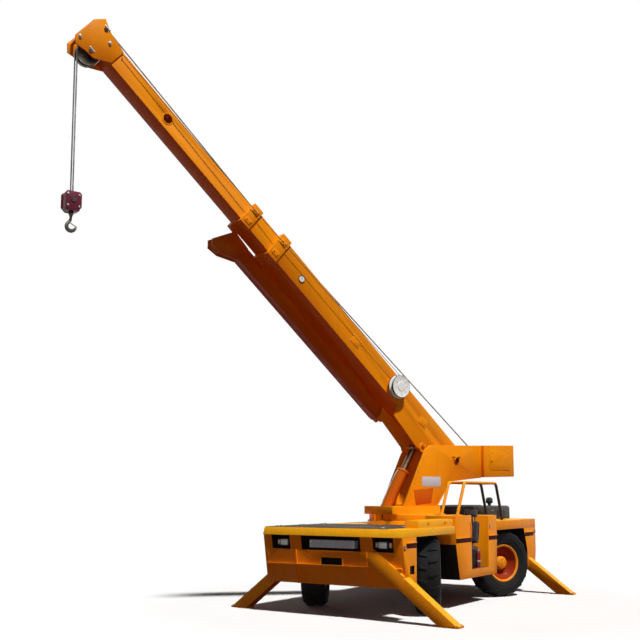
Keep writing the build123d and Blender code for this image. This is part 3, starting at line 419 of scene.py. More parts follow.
def enamel(name, fresh, faded, worn="5A4636", gloss=0.4, dust=0.16, shine=0.22,
           deep=None, pale=None):
    """Sprayed enamel on steel plate: colour drifts over a metre, grime runs down in streaks,
    dust rises from the ground, edges are rubbed, and the plate ripples a little in the light.
    Where deep and pale are given, faces that look down get deep as painted shade and faces that look
    up get pale as painted highlight."""
    made, tree, shader, place = surface(
        name, Coat_Weight=shine * 0.27, Coat_Roughness=0.2, Specular_IOR_Level=shine
    )
    broad = noise(tree, place, 0.9, 4.0)
    colour = node(tree, "ValToRGB", {"Fac": broad.outputs[0]}, ((0.34, fresh), (0.72, faded)))
    # painted shade on faces that look down and painted highlight on faces that look up, from the
    # normal in the rest pose
    if deep:
        upward = node(tree, "SeparateXYZ", {"Vector": place.node.outputs["Normal"]}).outputs["Z"]
        colour = towards(tree, span(tree, upward, -0.05, -0.6), colour, deep)
        colour = towards(tree, span(tree, upward, 0.25, 0.9), colour, pale)
    # rain streaks about 60 mm apart and a metre long
    down = node(tree, "Mapping", {"Vector": place, "Scale": (17.0, 17.0, 1.1)})
    streak = noise(tree, down.outputs[0], 1.0, 5.0)
    grimy = towards(tree, span(tree, streak.outputs[0], 0.58, 0.8, 0.0, 0.14), colour, worn)
    height = node(tree, "SeparateXYZ", {"Vector": place}).outputs["Z"]
    low = span(tree, height, 0.9, 0.0, 0.0, dust)
    spots = noise(tree, place, 7.0, 8.0, 0.65)
    settle = combined(tree, low.outputs[0], spots.outputs[0])
    dusty = towards(tree, settle, grimy, "7A5A38")
    edge = node(tree, "NewGeometry").outputs["Pointiness"]
    rub = span(tree, edge, 0.54, 0.62, 0.0, 0.3)
    broken = span(tree, noise(tree, place, 22.0, 6.0).outputs[0], 0.48, 0.6)
    rubbed = combined(tree, rub.outputs[0], broken.outputs[0])
    matt = span(tree, spots.outputs[0], 0.3, 0.75, gloss, gloss + 0.2)
    # orange peel drawn at 12 mm, coarser than the real 2 mm so that it shows
    peel = relief(tree, noise(tree, place, 80.0, 2.0), 0.08, 0.001)
    wave = relief(tree, noise(tree, place, 2.6, 1.0), 0.2, 0.008, Normal=peel.outputs[0])
    connect(tree, shader, towards(tree, rubbed, dusty, worn), matt, wave)
    return made


def metal(name, clean, stained, rough=(0.3, 0.5), grain=60.0, depth=0.2, metallic=1.0):
    """Bare steel: two tones of the metal in patches, and a grain from how it was worked."""
    made, tree, shader, place = surface(name, Metallic=metallic)
    patch = noise(tree, place, 9.0, 8.0, 0.62)
    colour = node(tree, "ValToRGB", {"Fac": patch.outputs[0]}, ((0.38, clean), (0.66, stained)))
    worked = node(tree, "Mapping", {"Vector": place, "Scale": (grain, grain, grain)})
    marks = noise(tree, worked.outputs[0], 1.0, 5.0)
    matt = span(tree, marks.outputs[0], 0.3, 0.7, *rough)
    connect(tree, shader, colour, matt, relief(tree, marks, depth, 0.002))
    return made


def moulded(name, fresh, dull, rough=0.5, grain=260.0, depth=0.15, **constants):
    """Moulded plastic or rubber: a dull bloom in patches and a fine grain from the mould."""
    made, tree, shader, place = surface(name, **constants)
    bloom = noise(tree, place, 5.0, 6.0)
    colour = node(tree, "ValToRGB", {"Fac": bloom.outputs[0]}, ((0.4, fresh), (0.72, dull)))
    matt = span(tree, bloom.outputs[0], 0.3, 0.7, rough - 0.08, rough + 0.1)
    pebble = node(tree, "TexVoronoi", {"Vector": place, "Scale": grain})
    connect(tree, shader, colour, matt, relief(tree, pebble, depth, 0.001))
    return made


def tyre_rubber():
    """Filled rubber: black and matt, with pale dust low down and in the pores."""
    made, tree, shader, place = surface("tyre_rubber_dusty", Specular_IOR_Level=0.16)
    dust = noise(tree, place, 14.0, 9.0, 0.7)
    height = node(tree, "SeparateXYZ", {"Vector": place}).outputs["Z"]
    low = span(tree, height, 1.1, 0.0, 0.05, 0.3)
    share = combined(tree, low.outputs[0], dust.outputs[0])
    colour = node(tree, "MixRGB", {"Fac": share.outputs[0], "Color1": linear("0A0A0C"),
                                   "Color2": linear("4A443E")})
    matt = span(tree, dust.outputs[0], 0.3, 0.7, 0.62, 0.85)
    connect(tree, shader, colour, matt, relief(tree, dust, 0.35, 0.003))
    return made


def deck_coating():
    """Rolled non-slip coating: coarse grit in a dark binder, paler where boots have worn it."""
    made, tree, shader, place = surface("non_slip_deck_coating", Specular_IOR_Level=0.25)
    wear = noise(tree, place, 2.2, 9.0, 0.6)
    colour = node(tree, "ValToRGB", {"Fac": wear.outputs[0]}, ((0.36, "2E2822"), (0.74, "63574A")))
    # grit drawn at 14 mm, coarser than the real 3 mm
    grit = node(tree, "TexVoronoi", {"Vector": place, "Scale": 70.0})
    mixed = towards(tree, span(tree, grit.outputs[0], 0.1, 0.6, 0.0, 0.35), colour, "1E1A16")
    matt = span(tree, wear.outputs[0], 0.3, 0.7, 0.9, 0.7)
    connect(tree, shader, mixed, matt, relief(tree, grit, 0.6, 0.003))
    return made


def lens(name, clear, deep, ribs=55.0):
    """Pressed lens: upright flutes with bands of painted highlight along them in its colour, over a
    bright reflector.
    """
    made, tree, shader, place = surface(
        name, Coat_Weight=1.0, Coat_Roughness=0.04, Specular_IOR_Level=0.6
    )
    flutes = node(tree, "TexWave", {"Vector": place, "Scale": ribs, "Distortion": 0.4},
                  bands_direction="Y")
    colour = node(tree, "ValToRGB", {"Fac": flutes.outputs[0]}, ((0.2, deep), (0.8, clear)))
    matt = span(tree, noise(tree, place, 30.0, 3.0).outputs[0], 0.0, 1.0, 0.08, 0.26)
    connect(tree, shader, colour, matt, relief(tree, flutes, 0.5, 0.002))
    return made


# its undersides carry painted shade and its tops painted highlight
ORANGE = enamel("machinery_enamel_orange", "FD9806", "F48C04", worn="8A3C08", shine=0.12,
                deep="DC5600", pale="FFB81C")
YELLOW_PAINTED_HIGHLIGHT = enamel("yellow_enamel_painted_highlight", "FFB81C", "FFAC12", worn="A8640C", shine=0.12)
FORWARD_FACE_SHADE_ORANGE = enamel("front_faces_enamel_painted_shade", "F07C04", "E87404", worn="8A3C08", shine=0.1)
PAINTED_SHADE_ORANGE = enamel("orange_enamel_painted_shade", "D05A04", "DC700C", worn="6A2C08", shine=0.12,
                     deep="A83400", pale="F08A10")
RIM_ORANGE = enamel("wheel_enamel_orange", "FB9A10", "F08808", worn="6A3410", gloss=0.5, dust=0.1)
DISH_RED_PAINTED_SHADE = enamel("wheel_dish_red_painted_shade", "A83404", "8A2604", worn="4A1C0C", gloss=0.6, dust=0.1,
                  shine=0.1)
MAROON_AND_PAINTED_SHADOW = enamel("maroon_enamel_and_painted_shadow", "320A04", "421006", worn="5A3018", gloss=0.6, dust=0.06,
                     shine=0.06)
HOOD_BLACK = enamel("satin_enamel_black", "1C1917", "2B2622", worn="4A423A", gloss=0.48)
BLANK_GREY = enamel("label_plate_grey", "D2CED6", "C0BCC6", worn="8A8790", gloss=0.4)
BOTTLE_RED = enamel("bottle_enamel_red", "8E0C0A", "740A08", worn="3A0C0C", gloss=0.25)
MAROON = enamel("hook_block_enamel_maroon", "6E1230", "581026", worn="2C1018", gloss=0.34)
REEL_WHITE = enamel("reel_enamel_white", "FBFBF9", "F0EFEC", worn="7D776C", gloss=0.4)
CAST_IRON = metal("engine_casting_grey", "3A3A3A", "262524", rough=(0.55, 0.8), metallic=0.6,
                  grain=120.0, depth=0.5)
OILED_STEEL = metal("machined_steel_oiled", "4B4844", "2C2925", rough=(0.28, 0.5))
ZINC_BOLT = metal("zinc_plated_bolt", "A8A59C", "7D7970", rough=(0.35, 0.55))
FORGED_STEEL = metal("forged_hook_steel", "5A5650", "37332E", rough=(0.4, 0.62), depth=0.5)
SHEAVE_STEEL = metal("sheave_steel_worn", "7A736A", "453E37", rough=(0.3, 0.55))
WIRE_ROPE = metal("wire_rope_greased", "8E8E90", "5C5B5C", rough=(0.38, 0.6), metallic=0.85)
CHROME_ROD = metal("chromed_rod_honed", "D6D6D8", "BDBDC0", rough=(0.08, 0.16),
                   grain=300.0, depth=0.04)
ROD_STEEL_PAINTED_SHADE = metal("lift_rod_steel_painted_shade", "77604A", "5C4634", rough=(0.3, 0.42),
                  grain=300.0, depth=0.04)
CHECKER = metal("tread_plate_steel", "6C6862", "4A463F", rough=(0.4, 0.6))
BLACK_PLASTIC = moulded("moulded_plastic_black", "19191B", "2A2A2C", rough=0.5)
HOSE_RUBBER = moulded("hose_rubber_black", "161617", "29282A", rough=0.6, grain=420.0)
WHITE_NYLON = moulded("guide_roller_nylon", "E8E4D8", "D2CCBB", rough=0.42)
VINYL = moulded("seat_vinyl_black", "1D1C1F", "302E31", rough=0.52, grain=170.0, depth=0.4,
                Sheen_Weight=0.15)
BLACK_PAINTED_SHADE = moulded("moulded_black_painted_shade", "100C0A", "1E1714", rough=0.8, grain=90.0, depth=0.5,
                    Specular_IOR_Level=0.1)
TYRE_RUBBER = tyre_rubber()
DECK_COAT = deck_coating()
CLEAR_LENS = lens("headlamp_lens_clear", "F2F2EA", "8F9090")
RED_LENS = lens("marker_lens_red", "C81A12", "7A0A08", ribs=90.0)
AMBER_LENS = lens("turn_lens_amber", "F09010", "A05008", ribs=90.0)


# ---------------------------------------------------------------- camera, light and floor
def camera():
    """Long view from the front left, at a standing person's eye height."""
    stand = (13.6596, 7.2029, 1.7882)
    pitch, yaw = 0.1112, 3.7243
    deselect()
    bpy.ops.object.camera_add(location=stand, rotation=(pi / 2 + pitch, 0.0, yaw - pi / 2))
    view = bpy.context.object
    view.data.sensor_width = 36.0
    view.data.lens = 49.83
    view.data.shift_y = 0.12
    view.data.clip_end = 300.0
    bpy.context.scene.camera = view


def lamp(kind, place, **settings):
    """Light whose z axis points back to where it shines from."""
    deselect()
    bpy.ops.object.light_add(type=kind)
    light = bpy.context.object
    for key, value in settings.items():
        setattr(light.data, key, value)
    light.matrix_world = place
    return light


def on_either(tree, path, *kinds):
    """Socket that is 1 for any of the kinds of ray, and 0 for the rest."""
    seen = path.outputs[kinds[0]]
    for kind in kinds[1:]:
        seen = combined(tree, seen, path.outputs[kind], "MAXIMUM").outputs[0]
    return seen


def lamps():
    """One sun-like key from the left and above, two weak level fills, and a plain grey world."""
    lamp("SUN", facing((0.3, 0.9, 1.6), (0, 0, 12)), energy=3.6, angle=radians(4),
         color=(1.0, 0.992, 0.98))
    fill = lamp("AREA", facing((0.9, 0.43, 0.02), (14, 6.5, 1.3)), energy=150.0,
                shape="RECTANGLE", size=4.0, size_y=2.0)
    fill.visible_camera = False
    # keeps the right side and the back readable
    lamp("SUN", facing((-0.7, -1.0, 0.03), (0, 0, 12)), energy=0.6, angle=radians(25))
    world = bpy.data.worlds.new("studio")
    bpy.context.scene.world = world
    world.use_nodes = True
    tree = world.node_tree
    seen = on_either(tree, node(tree, "LightPath"), "Is Camera Ray", "Is Glossy Ray",
                     "Is Transmission Ray")
    # white where it is seen, and nearly dark as a source of light
    strength = span(tree, seen, 0.0, 1.0, 0.042, 1.0)
    back = tree.nodes["Background"]
    back.inputs["Color"].default_value = (1, 1, 1, 1)
    tree.links.new(strength.outputs[0], back.inputs["Strength"])


def floor():
    """Pale floor that keeps the shadow and fades to white away from the crane."""
    deselect()
    bpy.ops.mesh.primitive_plane_add(size=240)
    ground = bpy.context.object
    ground.name = "floor"
    made, tree, shader, place = surface("pale_studio_floor", Specular_IOR_Level=0.0)
    shade = noise(tree, place, 0.6, 3.0)
    tone = node(tree, "ValToRGB", {"Fac": shade.outputs[0]}, ((0.3, "F6F6F6"), (0.7, "FAFAFA")))
    path = node(tree, "LightPath")
    # what bounces off the floor is as from dark ground, so that undersides stay deep
    bounce = node(tree, "MixRGB", {"Fac": path.outputs["Is Diffuse Ray"], "Color1": tone.outputs[0],
                                   "Color2": linear("4A4038")})
    tree.links.new(bounce.outputs[0], shader.inputs["Base Color"])
    shader.inputs["Roughness"].default_value = 1.0
    reach = node(tree, "VectorMath", {0: place}, operation="LENGTH")
    fade_start, fade_end = 3.6, 4.8
    far = span(tree, reach.outputs["Value"], fade_start, fade_end,
               interpolation_type="SMOOTHSTEP")
    seen = on_either(tree, path, "Is Camera Ray", "Is Glossy Ray")
    share = combined(tree, far.outputs[0], seen)
    white = node(tree, "Emission", {"Color": (1, 1, 1, 1), "Strength": 1.0})
    mixed = node(tree, "MixShader", {"Fac": share.outputs[0], 1: shader.outputs[0],
                                     2: white.outputs[0]})
    tree.links.new(mixed.outputs[0], tree.nodes["Material Output"].inputs["Surface"])
    ground.data.materials.append(made)


camera()
lamps()
floor()
bpy.context.scene.view_settings.view_transform = "Standard"


# ---------------------------------------------------------------- wheels
TYRE_R, TYRE_HALF, RIM_R = 0.590, 0.200, 0.325
LUGS = 18


def tyre_master():
    """Earthmover tyre about z, outer side up: a rounded casing with staggered bar lugs."""
    half, tread = TYRE_HALF, TYRE_R - 0.024
    casing = turned([(RIM_R + 0.004, -half + 0.046), (RIM_R + 0.03, -half + 0.030),
                     (RIM_R + 0.07, -half + 0.012), (RIM_R + 0.085, -half + 0.018),
                     (RIM_R + 0.10, -half + 0.006), (tread - 0.075, -half + 0.004),
                     (tread - 0.035, -half + 0.016), (tread - 0.006, -half + 0.055),
                     (tread, -half + 0.12), (tread, half - 0.12), (tread - 0.006, half - 0.055),
                     (tread - 0.035, half - 0.016), (tread - 0.075, half - 0.004),
                     (RIM_R + 0.10, half - 0.006), (RIM_R + 0.085, half - 0.018),
                     (RIM_R + 0.07, half - 0.012), (RIM_R + 0.03, half - 0.030),
                     (RIM_R + 0.004, half - 0.046), (RIM_R + 0.004, -half + 0.046),], steps=88)
    # a lug's section, from the tread's middle out over its shoulder
    lug = [(0.012, tread - 0.020), (0.012, TYRE_R - 0.002), (0.118, TYRE_R - 0.002),
           (0.150, TYRE_R - 0.022), (half - 0.012, tread - 0.040), (half - 0.006, tread - 0.062),
           (half - 0.040, tread - 0.060)]
    rows = [casing]
    for side, first in ((1, 0.75), (-1, 0.25)):
        bar = plate([(side * x, z) for x, z in lug], -0.022, 0.022, bevel=0.005)
        with editing(bar, "VERT", lambda v: abs(v.co.x) < 0.03):
            bpy.ops.transform.translate(value=(0, 0.020, 0))
        with editing(bar, "VERT", lambda v: abs(v.co.x) > half - 0.06):
            bpy.ops.transform.translate(value=(0, -0.012, 0))
        # the outline stood in x and z: its width goes along the axle and its height outwards
        swung(bar, axes((0, 0, 1), (0, 1, 0), (1, 0, 0)))
        step = 2 * pi / LUGS
        rows.append(repeated(bar, [Matrix.Rotation(step * (n + first), 4, "Z")
                                   for n in range(LUGS)]))
    return joined(rows)


def rim_master():
    """Dished disc wheel about z, outer side up: rim bands, deep dish, hub, nuts and hand holes."""
    lip = TYRE_HALF - 0.045
    shell = turned([
        (0.0, 0.082), (0.058, 0.082), (0.075, 0.074), (0.080, 0.055), (0.086, 0.040),
        (0.172, 0.034), (0.180, 0.036), (0.205, 0.052), (0.262, 0.100), (0.288, lip - 0.012),
        (0.300, lip), (0.318, lip + 0.006), (0.330, lip + 0.002), (0.330, lip - 0.014),
        (0.306, lip - 0.022), (0.304, 0.02), (0.300, -0.06), (0.306, -lip + 0.018),
        (0.330, -lip + 0.010), (0.330, -lip - 0.004), (0.300, -lip - 0.004), (0.286, -lip + 0.03),
        (0.284, 0.0), (0.240, 0.0), (0.190, 0.005), (0.060, 0.005), (0.060, -0.05), (0.0, -0.05),
    ], steps=56)
    return shell, repeated(hex_bolt(0.032), circle(10, 0.146, 0.036))


def hub_master():
    """Planet hub cover with a raised boss and its own ring of small bolts."""
    cover = turned([
        (0.0, 0.126), (0.034, 0.125), (0.040, 0.118), (0.084, 0.114), (0.106, 0.104),
        (0.116, 0.088), (0.118, 0.060), (0.118, 0.030), (0.0, 0.030),
    ], steps=40)
    bolts = repeated(hex_bolt(0.015), circle(10, 0.072, 0.115))
    return joined([cover, bolts])


def paint_dish(piece, place):
    """Dark red in the dish as painted shade, up to the bead seat; the lip outside it stays orange.
    """
    back = place.inverted()

    def in_dish(centre, normal):
        at = back @ centre
        return hypot(at.x, at.y) < 0.284 and at.z > 0.02

    painted(piece, DISH_RED_PAINTED_SHADE, in_dish)


def wheels():
    """The same tyre, disc wheel and hub at each corner, turned as the frame stands."""
    tyre = tyre_master()
    shell, nuts = rim_master()
    hub = hub_master()
    for corner in CORNERS:
        spin = JOINTS["spin_" + corner]
        side = 1 if "left" in corner else -1
        place = facing(Vector(spin["axis"]) * side, spin["pos_m"])
        for master, name, finish, stands_for in (
            (tyre, "tyre_tread_", TYRE_RUBBER, "tyre_" + corner),
            (shell, "disc_wheel_", RIM_ORANGE, "rim_" + corner),
            # painted shade: the nuts in the dish take the dish's dark red
            (nuts, "wheel_nuts_", DISH_RED_PAINTED_SHADE, None),
            (hub, "planet_hub_", RIM_ORANGE, None),
        ):
            piece = copied(master)
            keep(piece, name + corner, "wheel_" + corner, finish, place, node=stands_for)
            if master is shell:
                paint_dish(piece, place)
    for master in (tyre, shell, nuts, hub):
        bpy.data.objects.remove(master)


def steering():
    """Kingpin blocks with caps and a steering arm at each corner."""
    for corner in CORNERS:
        body = "steer_" + corner
        dress("knuckle_" + corner, body, OILED_STEEL, bevel=0.003)
        hinge = Vector(JOINTS[body]["pos_m"])
        spin = Vector(JOINTS["spin_" + corner]["axis"])
        side = 1 if "left" in corner else -1
        inward = -spin * side
        ahead = Vector((spin.y, -spin.x, 0))
        back = ahead if "rear" in corner else -ahead
        arm = plate([(0, -0.034), (0.150, -0.026), (0.172, 0), (0.150, 0.026), (0, 0.034)],
                    -0.014, 0.014, bevel=0.004)
        pin = rod((0.145, -0.03, 0), (0.145, 0.03, 0), 0.014, 0.003, 16)
        way = (inward * 0.25 + back).normalized()
        place = axes(way, UP, way.cross(UP), hinge + way * 0.05 - UP * 0.02)
        keep(joined([arm, pin]), "steering_arm_" + corner, body, OILED_STEEL, place)


def axles():
    """Axle beams with the cover of the drive housing bolted on, and the shaft that drives them."""
    for name in ("front_axle", "rear_axle"):
        dress(name, "chassis", ORANGE, bevel=0.006)
        low, high = (Vector(corner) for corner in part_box(name))
        mid = (low + high) / 2
        out = 1 if name == "front_axle" else -1
        cover = turned([(0, 0.06), (0.09, 0.055), (0.13, 0.03), (0.16, 0.02), (0.165, 0.0), (0, 0)])
        bolts = repeated(hex_bolt(0.02), circle(12, 0.148, 0.02))
        x = mid.x + out * (high.x - low.x) / 2
        place = facing((out, 0, 0), (x - out * 0.012, mid.y, mid.z))
        keep(cover, name + "_cover", "chassis", ORANGE, place)
        keep(bolts, name + "_cover_bolts", "chassis", ZINC_BOLT, place)
    front = Vector((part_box("front_axle")[0][0], 0, mid.z))
    rear = Vector((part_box("rear_axle")[1][0], 0, mid.z))
    gearbox = block((-0.17, -0.15, mid.z - 0.10), (0.17, 0.15, 0.698), bevel=0.03, segments=3)
    keep(gearbox, "drop_box", "chassis", CAST_IRON)
    for name, axle, near in (("front", front, 0.17), ("rear", rear, -0.17)):
        end = Vector((near, 0, mid.z))
        away = (axle - end).normalized()
        shaft = rod(end + away * 0.07, axle - away * 0.07, 0.036, 0.004)
        joints = [rod(at - away * 0.06, at + away * 0.06, 0.058, 0.012, 20)
                  for at in (end + away * 0.07, axle - away * 0.07)]
        keep(joined([shaft, *joints]), "drive_shaft_" + name, "chassis", OILED_STEEL)


wheels()
steering()
axles()


# ---------------------------------------------------------------- carrier
def corners(name):
    low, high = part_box(name)
    return Vector(low), Vector(high)


def steelwork():
    """Welded parts of the carrier with their plate edges eased."""
    for name in ("main_frame", "side_tank"):
        dress(name, "chassis", ORANGE)
    # painted highlight: the curb and the outward faces of the deck plate's edge are a paler yellow
    # where the light catches them
    dress("deck_curb", "chassis", YELLOW_PAINTED_HIGHLIGHT)
    painted(dress("deck_plate", "chassis", ORANGE), YELLOW_PAINTED_HIGHLIGHT,
            lambda at, normal: max(abs(normal.x), abs(normal.y)) > 0.5)
    # painted shade: black inside the lamp recesses, the tow slot and the side pockets
    hollows = [((2.2, y - half, 0.975), (2.44, y + half, 1.195))
               for y, half in ((0, 0.525), (0.9, 0.175), (-0.9, 0.175))]
    hollows.append(((2.2, -0.19, 0.76), (2.395, 0.19, 0.88)))
    hollows += [((2.105, y, 0.665), (2.255, y + 0.031, 0.795))
                for y in (1.188, -1.219)]
    # painted shade: the faces that look forward are a deeper orange
    box = painted(dress("front_box", "chassis", ORANGE), FORWARD_FACE_SHADE_ORANGE,
                  lambda at, normal: normal.x > 0.5)
    painted(box, BLACK_PAINTED_SHADE,
            lambda at, normal: any(inside(at, *hollow) for hollow in hollows))
    # painted shade: black over the rear tyres and on the walls that close each wheel's space
    painted(dress("rear_fenders", "chassis", ORANGE), BLACK_PAINTED_SHADE,
            lambda at, normal: inside(at, (-2.3, -1.209, 1.1), (-0.9, 1.209, 1.346))
            and abs(at.y) > 0.45)
    painted(dress("rear_body", "chassis", ORANGE), BLACK_PAINTED_SHADE,
            lambda at, normal: normal.x > 0.5 and at.z < 1.19)
    # painted shade: black on the tub's walls that face forward, behind the front wheels
    painted(dress("station_tub", "chassis", ORANGE), BLACK_PAINTED_SHADE,
            lambda at, normal: normal.x > 0.5 and at.x > 0.5 and at.z < 1.18)
    dress("deck_tread", "chassis", DECK_COAT, bevel=0.002, segments=1)
    dress("engine_hood", "chassis", HOOD_BLACK, bevel=0.008)
    dress("engine_block", "chassis", CAST_IRON, bevel=0.02)
    dress("rear_grille", "chassis", HOOD_BLACK, bevel=0.002)
    # painted highlight: the ring is a paler yellow to brighten it in the shade of the turret base
    dress("turntable_ring", "chassis", YELLOW_PAINTED_HIGHLIGHT, bevel=0.003)
    painted(dress("overhead_guard", "chassis", ORANGE, bevel=0), HOOD_BLACK,
            lambda at, normal: at.x < -0.98)
    frame["nodes"]["front_plate"].data.materials.clear()
    frame["nodes"]["front_plate"].data.materials.append(BLANK_GREY)


def headlamps():
    """Each lamp: a black bezel, a fluted lens and an amber turn lamp at either end."""
    low, high = corners("headlamps")
    width = 0.16
    mid_z = (low.z + high.z) / 2
    for side, y in (("left", high.y - width / 2), ("right", low.y + width / 2)):
        body = block((low.x, y - width / 2, low.z), (high.x - 0.012, y + width / 2, high.z), 0.014,
                     3)
        with editing(body, "FACE", lambda face: face.normal.x > 0.95):
            bpy.ops.mesh.inset(thickness=0.010)
            bpy.ops.mesh.extrude_region_move(TRANSFORM_OT_translate={"value": (-0.010, 0, 0)})
        keep(body, f"headlamp_{side}_bezel", "chassis", BLACK_PLASTIC)
        glass = block((high.x - 0.03, y - width / 2 + 0.013, low.z + 0.013),
                      (high.x - 0.004, y + width / 2 - 0.013, high.z - 0.013), 0.010, 3)
        keep(glass, f"headlamp_{side}_lens", "chassis", CLEAR_LENS)
        for outer in (0.115, -0.115):
            lamp = block((low.x + 0.01, y + outer - 0.022, mid_z - 0.04),
                         (high.x - 0.03, y + outer + 0.022, mid_z + 0.04), 0.01, 3)
            where = "outer" if outer * y > 0 else "inner"
            keep(lamp, f"turn_lamp_{side}_{where}", "chassis", AMBER_LENS)
    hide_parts("headlamps")


def front_details():
    """Tow slot frame and the bolts of the blank plate."""
    bar_low, bar_high = corners("front_plate")
    spots = [facing((1, 0, 0), (bar_high.x, y, z))
             for y in (bar_low.y + 0.03, bar_high.y - 0.03)
             for z in (bar_low.z + 0.025, bar_high.z - 0.025)]
    bolted("front_plate_bolts", "chassis", spots, 0.018)
    slot_z, slot_x = 0.82, 2.405
    rail = [block((slot_x - 0.02, -0.205, slot_z + dz - 0.010),
                  (slot_x + 0.022, 0.205, slot_z + dz + 0.010), 0.004) for dz in (0.065, -0.065)]
    ends = [block((slot_x - 0.02, y - 0.010, slot_z - 0.075),
                  (slot_x + 0.022, y + 0.010, slot_z + 0.075), 0.004) for y in (0.195, -0.195)]
    keep(joined(rail + ends), "tow_slot_frame", "chassis", ORANGE)


def leg_casing():
    """Welded casing over the front left leg's tunnel, where it stands proud of the front."""
    out = Vector(JOINTS["outrigger_front_left_slide"]["axis"])
    square = Vector((0, -out.z, out.y))
    foot = Vector((0, 1.860, 0.030))
    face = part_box("outrigger_front_left")[1][0] + 0.0055
    side, bottom, inner, top = 1.218, 0.470, 0.512, 0.978

    def at_y(offset, y):
        start = foot + square * offset
        return y, start.z + out.z * (y - start.y) / out.y

    def at_z(offset, z):
        start = foot + square * offset
        return start.y + out.y * (z - start.z) / out.z, z

    wide, thick = 0.1045, 0.009
    skin = plate([at_z(-wide, bottom), (side, bottom), at_y(wide, side), at_z(wide, top),
                  (inner, top), at_y(-wide, inner)], face, face + 0.005, 0.002)
    low = plate([at_z(-wide, bottom), at_z(thick - wide, bottom), at_y(thick - wide, inner),
                 at_y(-wide, inner)], 2.34, face + 0.005, 0.002)
    high = plate([at_y(wide - thick, side), at_y(wide, side), at_z(wide, top),
                  at_z(wide - thick, top)], 2.34, face + 0.005, 0.002)
    casing = joined([skin, low, high])
    swung(casing, axes((0, 1, 0), (1, 0, 0), (0, 0, 1)))
    keep(casing, "front_leg_casing", "chassis", ORANGE)


def side_rails():
    """Narrow ledge along the carrier's sides, with a dark maroon strip under it as its painted
    shadow.
    """
    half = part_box("front_box")[1][1]
    # from, to, and whether the right side has the same run
    runs = ((2.045, 2.350, True), (0.090, 0.685, False), (-0.985, -0.630, False),
            (-2.795, -2.345, True))
    ledges, lines = [], []
    for start, end, both in runs:
        for side in SIDES if both else (1,):
            for low, high, out, pieces in ((1.108, 1.124, 0.016, ledges),
                                           (1.040, 1.104, 0.002, lines)):
                y = sorted((side * (half - 0.002), side * (half + out)))
                pieces.append(block((start, y[0], low), (end, y[1], high), min(0.004, out / 3)))
    keep(joined(ledges), "side_ledges", "chassis", ORANGE)
    keep(joined(lines), "side_painted_shadow_lines", "chassis", MAROON_AND_PAINTED_SHADOW)


def deck_fittings():
    """Lashing rings sunk in the deck, and lids and latches on the side locker."""
    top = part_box("deck_tread")[1][2]
    front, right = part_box("deck_tread")[1][0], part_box("deck_tread")[0][1]
    cup = turned([(0, 0.001), (0.052, 0.001), (0.056, 0.004), (0.066, 0.006), (0.070, 0.0)], 28)
    ring = run([(0.040 * cos(a), 0.034 * sin(a), 0.006 + 0.006 * (sin(a) > 0.5))
                for a in [2 * pi * n / 12 for n in range(12)]], 0.006, cyclic=True)
    spots = [CARRIER @ shift(x, y, top) for x in (front - 0.16, front - 0.80, front - 1.44)
             for y in (right + 0.14, 0.80)]
    keep(repeated(cup, spots), "lashing_cups", "chassis", OILED_STEEL)
    keep(repeated(ring, spots), "lashing_rings", "chassis", ZINC_BOLT)
    low, high = corners("deck_curb")
    lids = []
    for n in range(2):
        a = low.x + 0.02 + n * (high.x - low.x - 0.02) / 2
        lids.append(block((a, low.y + 0.012, high.z - 0.002),
                          (a + (high.x - low.x) / 2 - 0.03, high.y - 0.012, high.z + 0.006), 0.003))
    keep(joined(lids), "locker_lids", "chassis", ORANGE)
    ends = (low.x + 0.30, high.x - 0.30)
    latches = [block((x - 0.03, high.y - 0.004, low.z + 0.05),
                     (x + 0.03, high.y + 0.009, low.z + 0.095), 0.004) for x in ends]
    keep(joined(latches), "locker_latches", "chassis", ORANGE)


def marker_lamps():
    """Side markers: a black base and a domed red lens at each corner."""
    low, high = corners("marker_lamps")
    bases, domes = [], []
    for x, z in ((2.40, 1.05), (-2.85, 1.12)):
        for side, y in ((1, high.y - 0.016), (-1, low.y + 0.016)):
            near, far = out_from(y, side, 0.007)
            bases.append(block((x - 0.040, near, z - 0.027), (x + 0.040, far, z + 0.027), 0.003))
            near, far = sorted((y + side * 0.004, y + side * 0.016))
            domes.append(block((x - 0.033, near, z - 0.021), (x + 0.033, far, z + 0.021), 0.007, 3))
    keep(joined(bases), "marker_bases", "chassis", BLACK_PLASTIC)
    keep(joined(domes), "marker_lenses", "chassis", RED_LENS, node="marker_lamps")


def tail_lamps():
    """Lamp cluster on each rear corner: a plate with a red and an amber round lens."""
    low, high = corners("rear_body")
    for side, y in (("left", high.y - 0.17), ("right", low.y + 0.17)):
        back = block((low.x - 0.004, y - 0.11, 0.96), (low.x + 0.004, y + 0.11, 1.10), 0.003)
        keep(back, f"tail_lamp_{side}_plate", "chassis", BLACK_PLASTIC)
        for shift_y, finish, kind in ((0.052, RED_LENS, "stop"), (-0.052, AMBER_LENS, "turn")):
            dome = turned([(0, 0.018), (0.026, 0.016), (0.038, 0.010), (0.042, 0.0), (0, 0)], 32)
            place = facing((-1, 0, 0), (low.x - 0.003, y + shift_y, 1.03))
            keep(dome, f"tail_lamp_{side}_{kind}", "chassis", finish, place)


